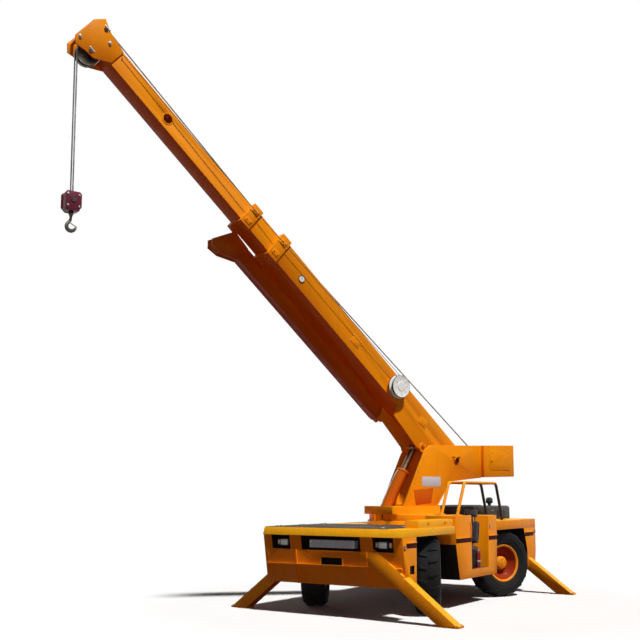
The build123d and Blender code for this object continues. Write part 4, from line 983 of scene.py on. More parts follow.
def hood_details():
    """Louvres on the hood's sides and top, handles, exhaust stack and air precleaner."""
    low, high = corners("engine_hood")
    slat = plate([(0.0, 0.0), (0.016, 0.010), (0.018, 0.006), (0.004, -0.006)], -0.20, 0.20, 0.001)
    sides = [axes((0, side, 0), (-side, 0, 0), UP, (x, side * high.y, low.z + 0.05 + 0.032 * n))
             for side in SIDES for x in (-1.45, -2.35) for n in range(4)]
    keep(repeated(slat, sides), "hood_side_louvres", "chassis", HOOD_BLACK)
    bar = plate([(0.0, 0.0), (0.024, 0.012), (0.028, 0.008), (0.006, -0.004)], -0.30, 0.30, 0.001)
    tops = [axes((-1, 0, 0), (0, -1, 0), UP, (low.x + 0.30 + 0.045 * n, 0, high.z))
            for n in range(9)]
    keep(repeated(bar, tops), "hood_top_louvres", "chassis", HOOD_BLACK)
    x, z = -1.9, 1.52
    handles = [run([(x - 0.05, side * high.y, z), (x - 0.05, side * (high.y + 0.02), z),
                    (x + 0.05, side * (high.y + 0.02), z), (x + 0.05, side * high.y, z)], 0.006)
               for side in SIDES]
    keep(joined(handles), "hood_handles", "chassis", ZINC_BOLT)
    x, y = -1.30, -0.50
    elbow = run([(x, y, high.z - 0.02), (x, y, high.z + 0.16), (x, y, high.z + 0.26),
                 (x - 0.06, y, high.z + 0.33)], 0.038, sides=5)
    can = turned([(0.0, 0.0), (0.060, 0.0), (0.066, 0.01), (0.066, 0.13), (0.060, 0.14), (0, 0.14)],
                 32)
    can.data.transform(shift(x, y, high.z))
    keep(joined([elbow, can]), "exhaust_stack", "chassis", CAST_IRON)
    bowl = turned([(0, 0.160), (0.036, 0.156), (0.060, 0.138), (0.068, 0.112), (0.068, 0.062),
                   (0.056, 0.044), (0.032, 0.036), (0.032, 0.0), (0, 0)], 32)
    keep(bowl, "air_precleaner", "chassis", BLACK_PLASTIC, shift(-2.6, 0.42, high.z))


def tank_details():
    """Filler cap, level gauge and straps on the side tank, and the step below it."""
    low, high = corners("side_tank")
    y = low.y
    cap = turned([(0, 0.045), (0.04, 0.045), (0.05, 0.038), (0.052, 0.012), (0.04, 0.010),
                  (0.04, -0.01), (0, -0.01)], 30)
    keep(cap, "tank_cap", "chassis", BLACK_PLASTIC,
         facing((0, -1, 0.35), (low.x + 0.25, y + 0.006, high.z - 0.14)))
    straps = [block((x - 0.03, y - 0.006, low.z + 0.05), (x + 0.03, y + 0.004, high.z - 0.01),
                    0.002) for x in (low.x + 0.48, high.x - 0.2)]
    keep(joined(straps), "tank_straps", "chassis", ZINC_BOLT)
    gauge = block((high.x - 0.09, y - 0.010, low.z + 0.22),
                  (high.x - 0.06, y + 0.004, high.z - 0.2), 0.004)
    keep(gauge, "tank_level_gauge", "chassis", CLEAR_LENS)
    z = low.z + 0.02
    step = block((low.x + 0.30, y - 0.004, z - 0.012), (low.x + 0.70, y + 0.05, z + 0.012), 0.004)
    keep(step, "tank_step", "chassis", CHECKER)


def rear_details():
    """Tow jaw with its pin, and the bolts of the rear panel."""
    low = corners("rear_body")[0]
    jaw = [block((low.x - 0.006, -0.09, z - 0.014), (low.x + 0.10, 0.09, z + 0.014), 0.006)
           for z in (0.86, 0.94)]
    jaw.append(block((low.x + 0.055, -0.11, 0.80), (low.x + 0.10, 0.11, 1.0), 0.004))
    keep(joined(jaw), "tow_jaw", "chassis", OILED_STEEL)
    keep(rod((low.x + 0.03, 0, 0.84), (low.x + 0.03, 0, 0.985), 0.018, 0.003), "tow_jaw_pin",
         "chassis", ZINC_BOLT)
    spots = [facing((-1, 0, 0), (low.x, y, z)) for y in (-0.62, -0.35, 0.35, 0.62)
             for z in (0.80, 1.15)]
    bolted("rear_panel_bolts", "chassis", spots, 0.026)


steelwork()
headlamps()
front_details()
leg_casing()
side_rails()
deck_fittings()
marker_lamps()
tail_lamps()
hood_details()
tank_details()
rear_details()


# ---------------------------------------------------------------- operator's station
def grown(piece, cap):
    """Inflates a closed pad with cloth pressure; no point moves further than cap metres."""
    modify(piece, "REMESH", mode="VOXEL", voxel_size=0.006)
    rest = [vertex.co.copy() for vertex in piece.data.vertices]
    activate(piece)
    cloth = piece.modifiers.new("pressure", "CLOTH")
    cloth.settings.use_pressure = True
    cloth.settings.uniform_pressure_force = 4.0
    cloth.settings.effector_weights.gravity = 0.0
    for step in range(1, 21):
        bpy.context.scene.frame_set(step)
    bpy.ops.object.modifier_apply(modifier=cloth.name)
    for vertex, start in zip(piece.data.vertices, rest):
        moved = vertex.co - start
        if moved.length > cap:
            vertex.co = start + moved.normalized() * cap
    bpy.context.scene.frame_set(1)


def cushion(name, size, place, welt=0.005):
    """Vinyl pad of a width, depth and thickness about its middle, crowned, with a welt round it."""
    width, depth, thick = size
    pad = block((-depth / 2, -width / 2, -thick / 2), (depth / 2, width / 2, thick / 2),
                bevel=thick * 0.36, segments=5)
    with editing(pad, "FACE", lambda face: abs(face.normal.z) > 0.95):
        bpy.ops.transform.resize(value=(0.93, 0.93, 1.0))
    grown(pad, 0.007)
    modify(pad, "SUBSURF", levels=1, render_levels=1)
    keep(pad, name, "chassis", VINYL, place, smooth=60)
    x, y = depth / 2 - welt * 0.4, width / 2 - welt * 0.4
    c = thick * 0.4
    edge = run([(x - c, -y, 0), (x, -y + c, 0), (x, y - c, 0), (x - c, y, 0),
                (-x + c, y, 0), (-x, y - c, 0), (-x, -y + c, 0), (-x + c, -y, 0)],
               welt, cyclic=True)
    keep(edge, name + "_welt", "chassis", VINYL, place, smooth=60)


def seat():
    """Seat pan on a steel box, with cushion, backrest and headrest."""
    low, high = corners("seat")
    mid = (low.y + high.y) / 2
    width = high.y - low.y
    base = block((low.x + 0.01, low.y + 0.015, low.z), (high.x - 0.02, high.y - 0.015, 0.855),
                 0.008)
    keep(base, "seat_box", "chassis", HOOD_BLACK, node="seat")
    cushion("seat_cushion", (width - 0.01, 0.35, 0.085),
            axes((1, 0, 0.06), (0, 1, 0), (-0.06, 0, 1), (-0.34, mid, 0.905)))
    lean = Vector((-0.11, 0, 0.62)).normalized()
    front = Vector((lean.z, 0, -lean.x))
    cushion("seat_backrest", (width - 0.03, 0.37, 0.062),
            axes(lean, (0, -1, 0), front, (-0.555, mid, 1.17)))
    cushion("seat_headrest", (0.24, 0.12, 0.05),
            axes(lean, (0, -1, 0), front, (-0.590, mid, 1.49)))
    posts = [rod((-0.578, mid + y, 1.33), (-0.592, mid + y, 1.46), 0.006) for y in (0.05, -0.05)]
    keep(joined(posts), "headrest_posts", "chassis", CHROME_ROD)


def hand_wheel(middle, way, radius):
    """Steering wheel: grip ring, three flat spokes, boss and a spinner knob."""
    grip = turned([(radius - 0.014 + 0.013 * cos(a), 0.013 * sin(a))
                   for a in [2 * pi * n / 12 for n in range(13)]], 56)
    spoke = plate([(0.02, -0.012), (radius - 0.016, -0.006), (radius - 0.016, 0.006),
                   (0.02, 0.004)], -0.014, 0.014, 0.002)
    spokes = repeated(spoke, [Matrix.Rotation(pi / 2 + 2 * pi * n / 3, 4, "Z") for n in range(3)])
    boss = turned([(0, 0.012), (0.026, 0.012), (0.036, 0.004), (0.038, -0.02),
                   (0.03, -0.03), (0, -0.03)])
    knob = turned([(0, 0.052), (0.014, 0.048), (0.019, 0.036), (0.014, 0.022), (0.006, 0.010),
                   (0, 0.010)], 24)
    knob.data.transform(Matrix.Rotation(radians(-50), 4, "Z") @ shift(radius - 0.016, 0, 0))
    keep(joined([grip, boss, knob]), "hand_wheel", "chassis", BLACK_PLASTIC, facing(way, middle))
    keep(spokes, "hand_wheel_spokes", "chassis", OILED_STEEL, facing(way, middle))


def dash():
    """Dash box with a sloped gauge panel, column, levers and pedals."""
    ground, top = corners("controls")[0].z, 1.23
    x0, x1 = 0.357, 0.503
    y0, y1 = 0.767, 1.143
    box = plate([(x0, ground), (x1, ground), (x1, top + 0.028), (x1 - 0.03, top + 0.028),
                 (x0, top - 0.06)], y0, y1, 0.006)
    keep(box, "dash_box", "chassis", HOOD_BLACK, node="controls")
    slope = Vector((-0.088, 0, 0.116)).normalized()
    up = Vector((0.116, 0, 0.088)).normalized()
    bezel = turned([(0.0, 0.0), (0.030, 0.0), (0.034, 0.004), (0.034, 0.010), (0.028, 0.012),
                    (0.026, 0.005), (0.0, 0.005)], 28)
    face = turned([(0.0, 0.0072), (0.025, 0.0072), (0.0, 0.006)], 28)
    needle = block((-0.0012, -0.004, 0.0078), (0.0012, 0.020, 0.0086), 0)
    centre = Vector(((x0 + x1 - 0.03) / 2, 0, top - 0.016))
    spots = [facing(slope, centre + Vector((0, y, 0)), up) for y in (0.815, 0.895, 1.015, 1.095)]
    keep(repeated(bezel, spots), "gauge_bezels", "chassis", BLACK_PLASTIC)
    keep(repeated(face, spots), "gauge_faces", "chassis", REEL_WHITE)
    keep(repeated(needle, spots), "gauge_needles", "chassis", BOTTLE_RED)
    tilt = Vector((-0.5, 0, 1)).normalized()
    foot = Vector((0.430, 0.955, 1.180))
    column = turned([(0, 0), (0.036, 0), (0.036, 0.05), (0.026, 0.07), (0.022, 0.15),
                     (0.030, 0.165), (0, 0.165)])
    keep(column, "steering_column", "chassis", BLACK_PLASTIC, facing(tilt, foot))
    hand_wheel(foot + tilt * 0.182, tilt, 0.18)
    sticks, knobs = [], []
    for n in range(4):
        start = Vector((0.44, 0.80 + 0.028 * n, top + 0.01))
        tip = start + Vector((-0.03 + 0.004 * n, 0, 0.13))
        sticks.append(rod(start, tip, 0.005, vertices=10))
        knob = turned([(0, 0.032), (0.010, 0.030), (0.014, 0.018), (0.008, 0.0), (0, 0)], 16)
        knob.data.transform(facing(tip - start, tip - Vector((0, 0, 0.008))))
        knobs.append(knob)
    keep(joined(sticks), "lever_rods", "chassis", CHROME_ROD)
    keep(joined(knobs), "lever_knobs", "chassis", BLACK_PLASTIC)
    pads = [plate([(0, 0), (0.09, 0.012), (0.09, 0.020), (0, 0.010)], y - 0.03, y + 0.03, 0.003)
            for y in (0.86, 1.03)]
    for pad in pads:
        pad.data.transform(axes((-0.5, 0, 0.86), (0, 1, 0), (-0.86, 0, -0.5), (0.352, 0, 0.535)))
    keep(joined(pads), "foot_pedals", "chassis", HOSE_RUBBER)
    mat = block((-0.15, 0.735, ground - 0.001), (0.350, 1.175, ground + 0.006), 0.002)
    ribs = [block((x, 0.745, ground + 0.005), (x + 0.008, 1.165, ground + 0.009), 0)
            for x in [-0.13 + 0.03 * n for n in range(16)]]
    keep(joined([mat, *ribs]), "floor_mat", "chassis", HOSE_RUBBER)


def fire_bottle():
    """Bottle with a shouldered body, valve, squeeze levers, gauge, hose and clamp band."""
    low, high = corners("fire_bottle")
    x, y = (low.x + high.x) / 2, (low.y + high.y) / 2
    r, top = (high.x - low.x) / 2, high.z - 0.055
    body = turned([(0, 0), (r - 0.006, 0), (r, 0.006), (r, top - low.z - 0.04),
                   (r - 0.006, top - low.z - 0.018), (r - 0.020, top - low.z - 0.004),
                   (0.016, top - low.z), (0, top - low.z)], 36)
    keep(body, "bottle_body", "chassis", BOTTLE_RED, shift(x, y, low.z), node="fire_bottle")
    valve = turned([(0, 0), (0.014, 0), (0.014, 0.02), (0.009, 0.026), (0.009, 0.04), (0, 0.04)],
                   20)
    keep(valve, "bottle_valve", "chassis", ZINC_BOLT, shift(x, y, top - 0.003))
    grips = [plate([(-0.012, z), (0.03, z + dz), (0.03, z + dz + 0.004), (-0.012, z + 0.004)],
                   -0.008, 0.008, 0.001) for z, dz in ((0.030, -0.004), (0.042, 0.008))]
    keep(joined(grips), "bottle_levers", "chassis", BLACK_PLASTIC, shift(x, y, top))
    hose = run([(x + 0.008, y, top + 0.018), (x + 0.03, y, top + 0.02),
                (x + r + 0.004, y, top - 0.03), (x + r + 0.006, y, top - 0.12),
                (x + r + 0.006, y, top - 0.24)], 0.0055)
    keep(hose, "bottle_hose", "chassis", HOSE_RUBBER)
    band = turned([(r + 0.0005, 0), (r + 0.003, 0), (r + 0.003, 0.03), (r + 0.0005, 0.03),
                   (r + 0.0005, 0)], 36)
    keep(band, "bottle_band", "chassis", ZINC_BOLT, shift(x, y, low.z + 0.2))


def station_details():
    """Guard feet with bolts, a grab handle and a latch by the doorway, and the sill's tread."""
    tub_high = corners("station_tub")[1]
    out = tub_high.y
    feet, spots = [], []
    for x, z in ((0.527, tub_high.z), (-1.415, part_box("rear_fenders")[1][2])):
        for y in (0.88, 1.16):
            feet.append(block((x - 0.06, y - 0.045, z - 0.001),
                              (x + 0.06, y + 0.045, z + 0.009), 0.003))
            spots += [shift(x + dx, y + dy, z + 0.009) for dx in (-0.045, 0.045)
                      for dy in (-0.03, 0.03)]
    keep(joined(feet), "guard_feet", "chassis", ORANGE)
    bolted("guard_feet_bolts", "chassis", spots, 0.018)
    tread = block((-0.60, out - 0.032, 0.599), (0.06, out + 0.002, 0.606), 0.002)
    keep(tread, "sill_tread", "chassis", CHECKER)
    grab = run([(0.14, out - 0.002, 1.38), (0.14, out + 0.022, 1.38), (0.14, out + 0.024, 1.10),
                (0.14, out - 0.002, 1.10)], 0.010, sides=4)
    keep(grab, "grab_handle", "chassis", ORANGE)
    latch = block((-0.70, out - 0.002, 1.24), (-0.66, out + 0.014, 1.32), 0.005)
    keep(latch, "station_latch", "chassis", ZINC_BOLT)


seat()
dash()
fire_bottle()
station_details()


# ---------------------------------------------------------------- turret
def on_turret(x, z, y=0.0):
    return FWD * x + LEFT * y + UP * z


def turret_steel():
    """Rotating base, mast and winch housing with eased edges."""
    for name in ("turret_base", "turret_mast", "tail_box"):
        dress(name, "turret", ORANGE, bevel=0.006)
    bolted("ring_bolts", "chassis", circle(40, 0.6705, corners("turntable_ring")[1].z), 0.020,
           ORANGE)
    # the turntable's own bolt circle, between the disc's rim and the base box
    disc_top = 1.480
    clear = [place for place in circle(24, 0.60, disc_top)
             if abs(place.translation.dot(LEFT)) > 0.39 or place.translation.dot(FWD) < -0.47]
    bolted("disc_bolts", "turret", clear, 0.026, ORANGE)


MAST_OUT = 0.300          # outer faces of the mast's side plates, from its middle


def mast_plates():
    """Blank plate with rivets on the left, and a screwed access cover on each side."""
    thick, proud = 0.006, 0.003
    label = plate([(-0.510, 1.945), (-0.072, 1.945), (-0.072, 2.113), (-0.510, 2.113)],
                  MAST_OUT - 0.001, MAST_OUT + proud, 0.001)
    keep(label, "mast_blank_plate", "turret", BLANK_GREY, TURRET)
    rivets = [TURRET @ axes((1, 0, 0), (0, 0, -1), (0, 1, 0), (x, MAST_OUT + proud, z))
              for x in (-0.496, -0.086) for z in (1.959, 2.099)]
    bolted("mast_plate_rivets", "turret", rivets, 0.010)
    covers = [plate([(0.123, 1.886), (-0.332, 1.924), (-0.275, 1.666), (0.077, 1.631)],
                    *out_from(side * MAST_OUT, side, thick), 0.002) for side in SIDES]
    screws = [facing(LEFT * side, on_turret(x, z, side * (MAST_OUT + thick))) for side in SIDES
              for x, z in ((0.098, 1.864), (-0.306, 1.898), (-0.256, 1.688), (0.056, 1.656))]
    # painted shade: the covers and their screws are a deeper orange
    keep(joined(covers), "mast_access_covers", "turret", PAINTED_SHADE_ORANGE, TURRET)
    bolted("mast_cover_screws", "turret", screws, 0.013, PAINTED_SHADE_ORANGE)


def pivot_ends():
    """Capped ends of the boom's pivot pin, each with a bolted keeper."""
    ends = [facing(LEFT * side, PIVOT + LEFT * side * MAST_OUT) for side in SIDES]
    cap = turned([(0, 0.030), (0.040, 0.030), (0.047, 0.026), (0.050, 0.0), (0.078, 0.0),
                  (0.080, -0.002), (0, -0.002)], 36)
    painted(keep(repeated(cap, ends), "pivot_caps", "turret", ORANGE), MAROON_AND_PAINTED_SHADOW,
            lambda at, normal: abs((at - PIVOT).dot(LEFT)) > MAST_OUT + 0.024)
    keeper = block((-0.10, 0.052, 0.0), (0.10, 0.078, 0.010), 0.003)
    keep(repeated(keeper, ends), "pivot_keepers", "turret", ORANGE)
    bolts = [end @ shift(x, 0.065, 0.010) for end in ends for x in (-0.075, 0.075)]
    bolted("pivot_keeper_bolts", "turret", bolts, 0.018, ORANGE)


def mast_edges():
    """Bars welded along the sloping front edge and the lower rear edge of each side plate."""
    front = [(0.325, 1.620), (0.285, 1.620), (-0.168, 2.495), (-0.142, 2.525)]
    rear = [(-0.418, 1.600), (-0.388, 1.600), (-0.610, 1.892), (-0.645, 1.892)]
    bars = [plate(outline, *out_from(side * MAST_OUT, side, 0.006), 0.002)
            for side in SIDES for outline in (front, rear)]
    keep(joined(bars), "mast_edge_bars", "turret", ORANGE, TURRET)


def winch():
    """Winch drum with its flanges and wound rope, seen through the slot in the housing's top."""
    low_z, top_z = 2.40, 2.64
    centre = on_turret(-1.945, (low_z + top_z) / 2)
    drum = turned([(0, -0.20), (0.115, -0.20), (0.115, -0.188), (0.066, -0.186), (0.066, 0.186),
                   (0.115, 0.188), (0.115, 0.20), (0, 0.20)], 40)
    keep(drum, "winch_drum", "turret", OILED_STEEL, facing(LEFT, centre))
    lay = [(0.066, -0.180)]
    for n in range(15):
        lay += [(0.088, -0.178 + 0.024 * n), (0.072, -0.166 + 0.024 * n)]
    wound = turned(lay + [(0.066, 0.184), (0.066, -0.180)], 36)
    keep(wound, "winch_rope_layer", "turret", WIRE_ROPE, facing(LEFT, centre))


def swing_drive():
    """Slewing motor on its gearbox, standing between the mast's side plates."""
    x, foot, flange = -0.285, 1.643, 0.016
    body = turned([(0, 0), (0.085, 0), (0.085, flange), (0.066, 0.024), (0.062, 0.085),
                   (0.070, 0.092), (0.070, 0.104), (0.046, 0.110), (0.044, 0.185), (0.036, 0.195),
                   (0, 0.195)], 36)
    keep(body, "swing_motor", "turret", CAST_IRON, shift(*on_turret(x, foot)))
    bolts = [shift(*on_turret(x, foot + flange)) @ place for place in circle(6, 0.075)]
    bolted("swing_motor_bolts", "turret", bolts, 0.014)


def tail_details():
    """Side doors with latches and a vent on the winch housing."""
    rear, half = -2.330, 0.370
    doors, latches = [], []
    for side in SIDES:
        low, high = out_from(side * half, side, 0.006)
        doors.append(block((-2.20, low, 2.25), (-1.68, high, 2.60), 0.003))
        low, high = out_from(side * half, side, 0.018)
        latches.append(block((-1.76, low, 2.40), (-1.71, high, 2.46), 0.005))
    keep(joined(doors), "housing_doors", "turret", ORANGE, TURRET)
    keep(joined(latches), "housing_door_latches", "turret", ORANGE, TURRET)
    slats = [block((rear - 0.012, -0.22, z), (rear + 0.002, 0.22, z + 0.012), 0.003)
             for z in [2.30 + 0.035 * n for n in range(8)]]
    keep(joined(slats), "housing_rear_vent", "turret", HOOD_BLACK, TURRET)


def lift_cylinder():
    """Lift cylinder: a barrel and a rod both darkened with painted shade, a pipe along the barrel
    and its valve.
    """
    dress("lift_barrel", "lift_barrel", PAINTED_SHADE_ORANGE, bevel=0.003)
    dress("lift_rod", "lift_rod", ROD_STEEL_PAINTED_SHADE, bevel=0.002)
    tilt = Vector(JOINTS["lift_tilt"]["pos_m"])
    way = Vector(JOINTS["lift_extend"]["axis"])
    front = LEFT.cross(way)
    pipe = run([tilt + way * 0.12 + front * 0.100, tilt + way * 0.12 + front * 0.125,
                tilt + way * 0.50 + front * 0.125, tilt + way * 0.78 + front * 0.125,
                tilt + way * 0.80 + front * 0.100], 0.009, sides=4)
    keep(pipe, "lift_cylinder_pipe", "lift_barrel", ZINC_BOLT)
    valve = block((0.10, -0.035, 0.0), (0.21, 0.035, 0.055), 0.006)
    keep(valve, "holding_valve", "lift_barrel", OILED_STEEL, axes(way, LEFT, way.cross(LEFT), tilt)
         @ shift(0, 0, 0.090))


def boom_hoses():
    """Two hoses from the turret's foot, up inside the right side plate and on to the boom."""
    for n, y in enumerate((-0.226, -0.244)):
        base = [on_turret(-0.20 - 0.05 * n, 1.64, y), on_turret(-0.30 - 0.05 * n, 1.80, y),
                on_turret(-0.62 - 0.03 * n, 2.10, y),
                PIVOT + LEFT * y + FWD * 0.10 - UP * (0.12 + 0.03 * n),
                PIVOT + LEFT * y + ALONG * (0.10 + 0.03 * n) - NORMAL * 0.03,
                PIVOT + LEFT * y + ALONG * 0.30 + NORMAL * (0.02 + 0.035 * n),
                PIVOT + LEFT * y + ALONG * 0.62 + NORMAL * (0.03 + 0.035 * n),
                PIVOT + LEFT * (-0.20) + ALONG * 0.72 + NORMAL * (0.03 + 0.035 * n)]
        hose = run(base, 0.0085, sides=4)
        piece = keep(hose, f"boom_hose_{n + 1}", None, HOSE_RUBBER)
        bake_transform(piece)


turret_steel()
mast_plates()
pivot_ends()
mast_edges()
winch()
swing_drive()
tail_details()
lift_cylinder()
boom_hoses()


# ---------------------------------------------------------------- boom
# along the boom from its pivot, left of its middle plane, and square to it, in metres
AXIS_H = 0.059
BASE_TOP, MID_TOP = AXIS_H + 0.200, AXIS_H + 0.171
BASE_END, MID_END, FLY_END = 5.030, 5.680, 8.640
COLLAR = 0.200
FLY_HALF = 0.144                           # outer faces of the fly section and its head
TOP_PIN, LOW_PIN = (8.880, 0.215), (8.800, -0.215)
TIE_PINS = ((8.715, 0.115), (9.025, -0.190))
TOP_GROOVE, LOW_GROOVE = 0.100, 0.146      # from a sheave's pin to the middle of its rope
FALL_Y, ROPE_R = 0.042, 0.011


def on_boom(l, h, y=0.0):
    return PIVOT + ALONG * l + LEFT * y + NORMAL * h


def boom_steel():
    """The three sections and the head, with eased edges."""
    for name, body in (("boom_base", "boom_base"), ("boom_mid", "boom_mid"),
                       ("boom_fly", "boom_fly"), ("boom_head", "boom_fly")):
        dress(name, body, ORANGE, bevel=0.005)


def collar_details():
    """Pad covers with bolts and adjusting screws round each section's mouth."""
    for name, half, end in (("boom_base", 0.234, BASE_END), ("boom_mid", 0.205, MID_END)):
        middle = end - COLLAR / 2
        covers, bolts = [], []
        for turn in range(4):
            face = BOOM @ shift(0, 0, AXIS_H) @ Matrix.Rotation(turn * pi / 2, 4, "X")
            for y in (-half * 0.52, half * 0.52):
                cover = block((middle - 0.062, y - 0.046, half - 0.001),
                              (middle + 0.062, y + 0.046, half + 0.009), 0.003)
                cover.data.transform(face)
                covers.append(cover)
                bolts += [face @ shift(middle + dx, y, half + 0.009) for dx in (-0.038, 0.038)]
        keep(joined(covers), name + "_pad_covers", name, ORANGE)
        bolted(name + "_pad_bolts", name, bolts, 0.022, ORANGE)


def rope_guides():
    """Grooved nylon blocks that carry the hoist rope over each collar, in a steel shoe."""
    for name, end, top in (("boom_base", BASE_END, BASE_TOP + 0.034),
                           ("boom_mid", MID_END, MID_TOP + 0.034)):
        start = end - 0.15
        saddle = plate([(-0.075, top), (0.075, top), (0.075, top + 0.038), (0.016, top + 0.042),
                        (0.010, top + 0.030), (-0.010, top + 0.030), (-0.016, top + 0.042),
                        (-0.075, top + 0.038)], start, start + 0.10, 0.003)
        swung(saddle, BOOM @ axes((0, 1, 0), (1, 0, 0), (0, 0, 1)))
        keep(saddle, name + "_rope_guide", name, WHITE_NYLON)
        sides = [block((start - 0.01, y - 0.006, top - 0.001),
                       (start + 0.11, y + 0.006, top + 0.060), 0.003) for y in (-0.085, 0.085)]
        pins = [rod((start + dx, -0.095, top + 0.050), (start + dx, 0.095, top + 0.050), 0.006,
                    vertices=12) for dx in (0.015, 0.085)]
        keep(joined(sides), name + "_guide_cheeks", name, ORANGE, BOOM)
        keep(joined(pins), name + "_guide_pins", name, ZINC_BOLT, BOOM)


def grooved_sheave(radius, half, hub=0.045):
    """Rope sheave about z with a round groove, a thinned web and a hub."""
    rim = radius - 0.018
    return turned([(0.026, -half), (hub, -half), (hub + 0.004, -half * 0.5),
                   (rim - 0.012, -half * 0.45), (rim - 0.006, -half), (radius, -half),
                   (radius - 0.003, -half * 0.62), (rim + 0.002, -half * 0.25),
                   (rim + 0.002, half * 0.25), (radius - 0.003, half * 0.62), (radius, half),
                   (rim - 0.006, half), (rim - 0.012, half * 0.45), (hub + 0.004, half * 0.5),
                   (hub, half), (0.026, half), (0.026, -half)], 48)


def head_details():
    """Head sheaves on their pins, pin ends with keepers, tie-bar nuts and rope guards."""
    sheaves = []
    for pin, groove in ((TOP_PIN, TOP_GROOVE), (LOW_PIN, LOW_GROOVE)):
        for y in (FALL_Y, -FALL_Y):
            sheave = grooved_sheave(groove + 0.005, 0.024)
            sheave.data.transform(facing(LEFT, on_boom(*pin, y)))
            sheaves.append(sheave)
        sheaves.append(rod(on_boom(*pin, -FLY_HALF), on_boom(*pin, FLY_HALF), 0.026, 0.002, 32))
    keep(joined(sheaves), "head_sheave_set", "boom_fly", SHEAVE_STEEL, node="head_sheaves")

    def outside(*pins):
        """Places on the cheek plates, at both ends of each pin."""
        return [facing(LEFT * side, on_boom(l, h, side * (FLY_HALF + 0.020)), NORMAL)
                for l, h in pins for side in SIDES]

    ends = outside(TOP_PIN, LOW_PIN)
    head = turned([(0, 0.014), (0.026, 0.014), (0.030, 0.010), (0.030, -0.001), (0, -0.001)], 28)
    keeper = block((-0.052, 0.024, 0.0), (0.052, 0.046, 0.007), 0.002)
    keep(repeated(head, ends), "head_pin_ends", "boom_fly", OILED_STEEL)
    keep(repeated(keeper, ends), "head_pin_keepers", "boom_fly", ZINC_BOLT)
    bolts = [place @ shift(x, 0.035, 0.007) for place in ends for x in (-0.038, 0.038)]
    bolted("head_keeper_bolts", "boom_fly", bolts, 0.014)
    bolted("head_tie_nuts", "boom_fly", outside(*TIE_PINS), 0.046)
    reach = FLY_HALF + 0.002
    guards = [rod(on_boom(l, h, -reach), on_boom(l, h, reach), 0.008, vertices=14)
              for l, h in ((8.970, -0.140), (8.640, -0.150), (8.985, 0.290))]
    keep(joined(guards), "head_rope_guards", "boom_fly", ZINC_BOLT)
    ring = turned([(0.072, -0.001), (0.072, 0.006), (0.090, 0.006), (0.094, 0.002), (0.094, -0.001),
                   (0.072, -0.001)], 36)
    ports = [facing(LEFT * side, on_boom(FLY_END - 1.188, AXIS_H, side * FLY_HALF))
             for side in SIDES]
    keep(repeated(ring, ports), "fly_port_rims", "boom_fly", ORANGE)


def base_details():
    """Round angle dial, access covers and the bosses of the lift lug on the base section."""
    dial = facing(LEFT, on_boom(4.32, 0.02, 0.200))
    rim = turned([(0.052, 0.0), (0.058, 0.002), (0.060, 0.014), (0.054, 0.016), (0.050, 0.010),
                  (0.050, 0.0), (0.052, 0.0)], 32)
    face = turned([(0.0, 0.008), (0.051, 0.008), (0.051, -0.001), (0.0, -0.001)], 32)
    keep(rim, "angle_dial_rim", "boom_base", BLACK_PLASTIC, dial)
    keep(face, "angle_dial_face", "boom_base", REEL_WHITE, dial)
    hand = plate([(-0.003, -0.004), (0.003, -0.004), (0.001, 0.040), (-0.001, 0.040)],
                 -0.001, 0.001, 0)
    hand.data.transform(axes((1, 0, 0), (0, 0, 1), (0, -1, 0)))
    keep(hand, "angle_dial_hand", "boom_base", BOTTLE_RED, dial @ shift(0, 0, 0.010))
    covers, spots = [], []
    half, out = 0.199, 0.206
    for l in (0.95, 2.90):
        covers.append(block((l - 0.10, half, AXIS_H - 0.085),
                            (l + 0.10, out, AXIS_H + 0.065), 0.003))
        spots += [BOOM @ axes((1, 0, 0), (0, 0, -1), (0, 1, 0), (l + dx, out, AXIS_H - 0.01 + dz))
                  for dx in (-0.085, 0.085) for dz in (-0.062, 0.062)]
    keep(joined(covers), "base_access_covers", "boom_base", ORANGE, BOOM)
    bolted("base_cover_screws", "boom_base", spots, 0.013)
    boss = turned([(0.046, -0.001), (0.046, 0.010), (0.078, 0.010), (0.084, -0.001),
                   (0.046, -0.001)], 36)
    lugs = [facing(LEFT * side, on_boom(0.70, -0.325, side * 0.230)) for side in SIDES]
    keep(repeated(boss, lugs), "lift_lug_bosses", "boom_base", ORANGE)


def cable_reel():
    """Spring reel: white flanges with pressed ribs, black rims, and its wound cable."""
    place = BOOM @ axes((1, 0, 0), (0, 0, -1), (0, 1, 0), (1.790, 0.200, 0.075))
    shell = turned([(0.0, 0.0), (0.068, 0.0), (0.070, 0.045), (0.196, 0.045), (0.203, 0.048),
                    (0.203, 0.066), (0.196, 0.070), (0.150, 0.070), (0.150, 0.130), (0.184, 0.130),
                    (0.188, 0.134), (0.188, 0.146), (0.182, 0.150), (0.165, 0.144), (0.085, 0.144),
                    (0.075, 0.152), (0.0, 0.152)], 56)
    ribs = repeated(block((0.090, -0.007, 0.142), (0.160, 0.007, 0.149), 0.003), circle(8, 0))
    keep(joined([shell, ribs]), "reel_shell", "boom_base", REEL_WHITE, place, node="cable_reel")
    rims = [turned([(radius - 0.004, z), (radius + 0.002, z), (radius + 0.002, z + depth),
                    (radius - 0.004, z + depth), (radius - 0.004, z)], 56) for radius, z,
            depth in ((0.203, 0.047, 0.020), (0.188, 0.132, 0.016))]
    keep(joined(rims), "reel_rims", "boom_base", BLACK_PLASTIC, place)
    turns = [(0.149, 0.074)]
    for n in range(6):
        turns += [(0.158, 0.078 + 0.009 * n), (0.1525, 0.0825 + 0.009 * n)]
    keep(turned(turns + [(0.149, 0.127), (0.149, 0.074)], 48), "reel_cable_turns", "boom_base",
         HOSE_RUBBER, place)


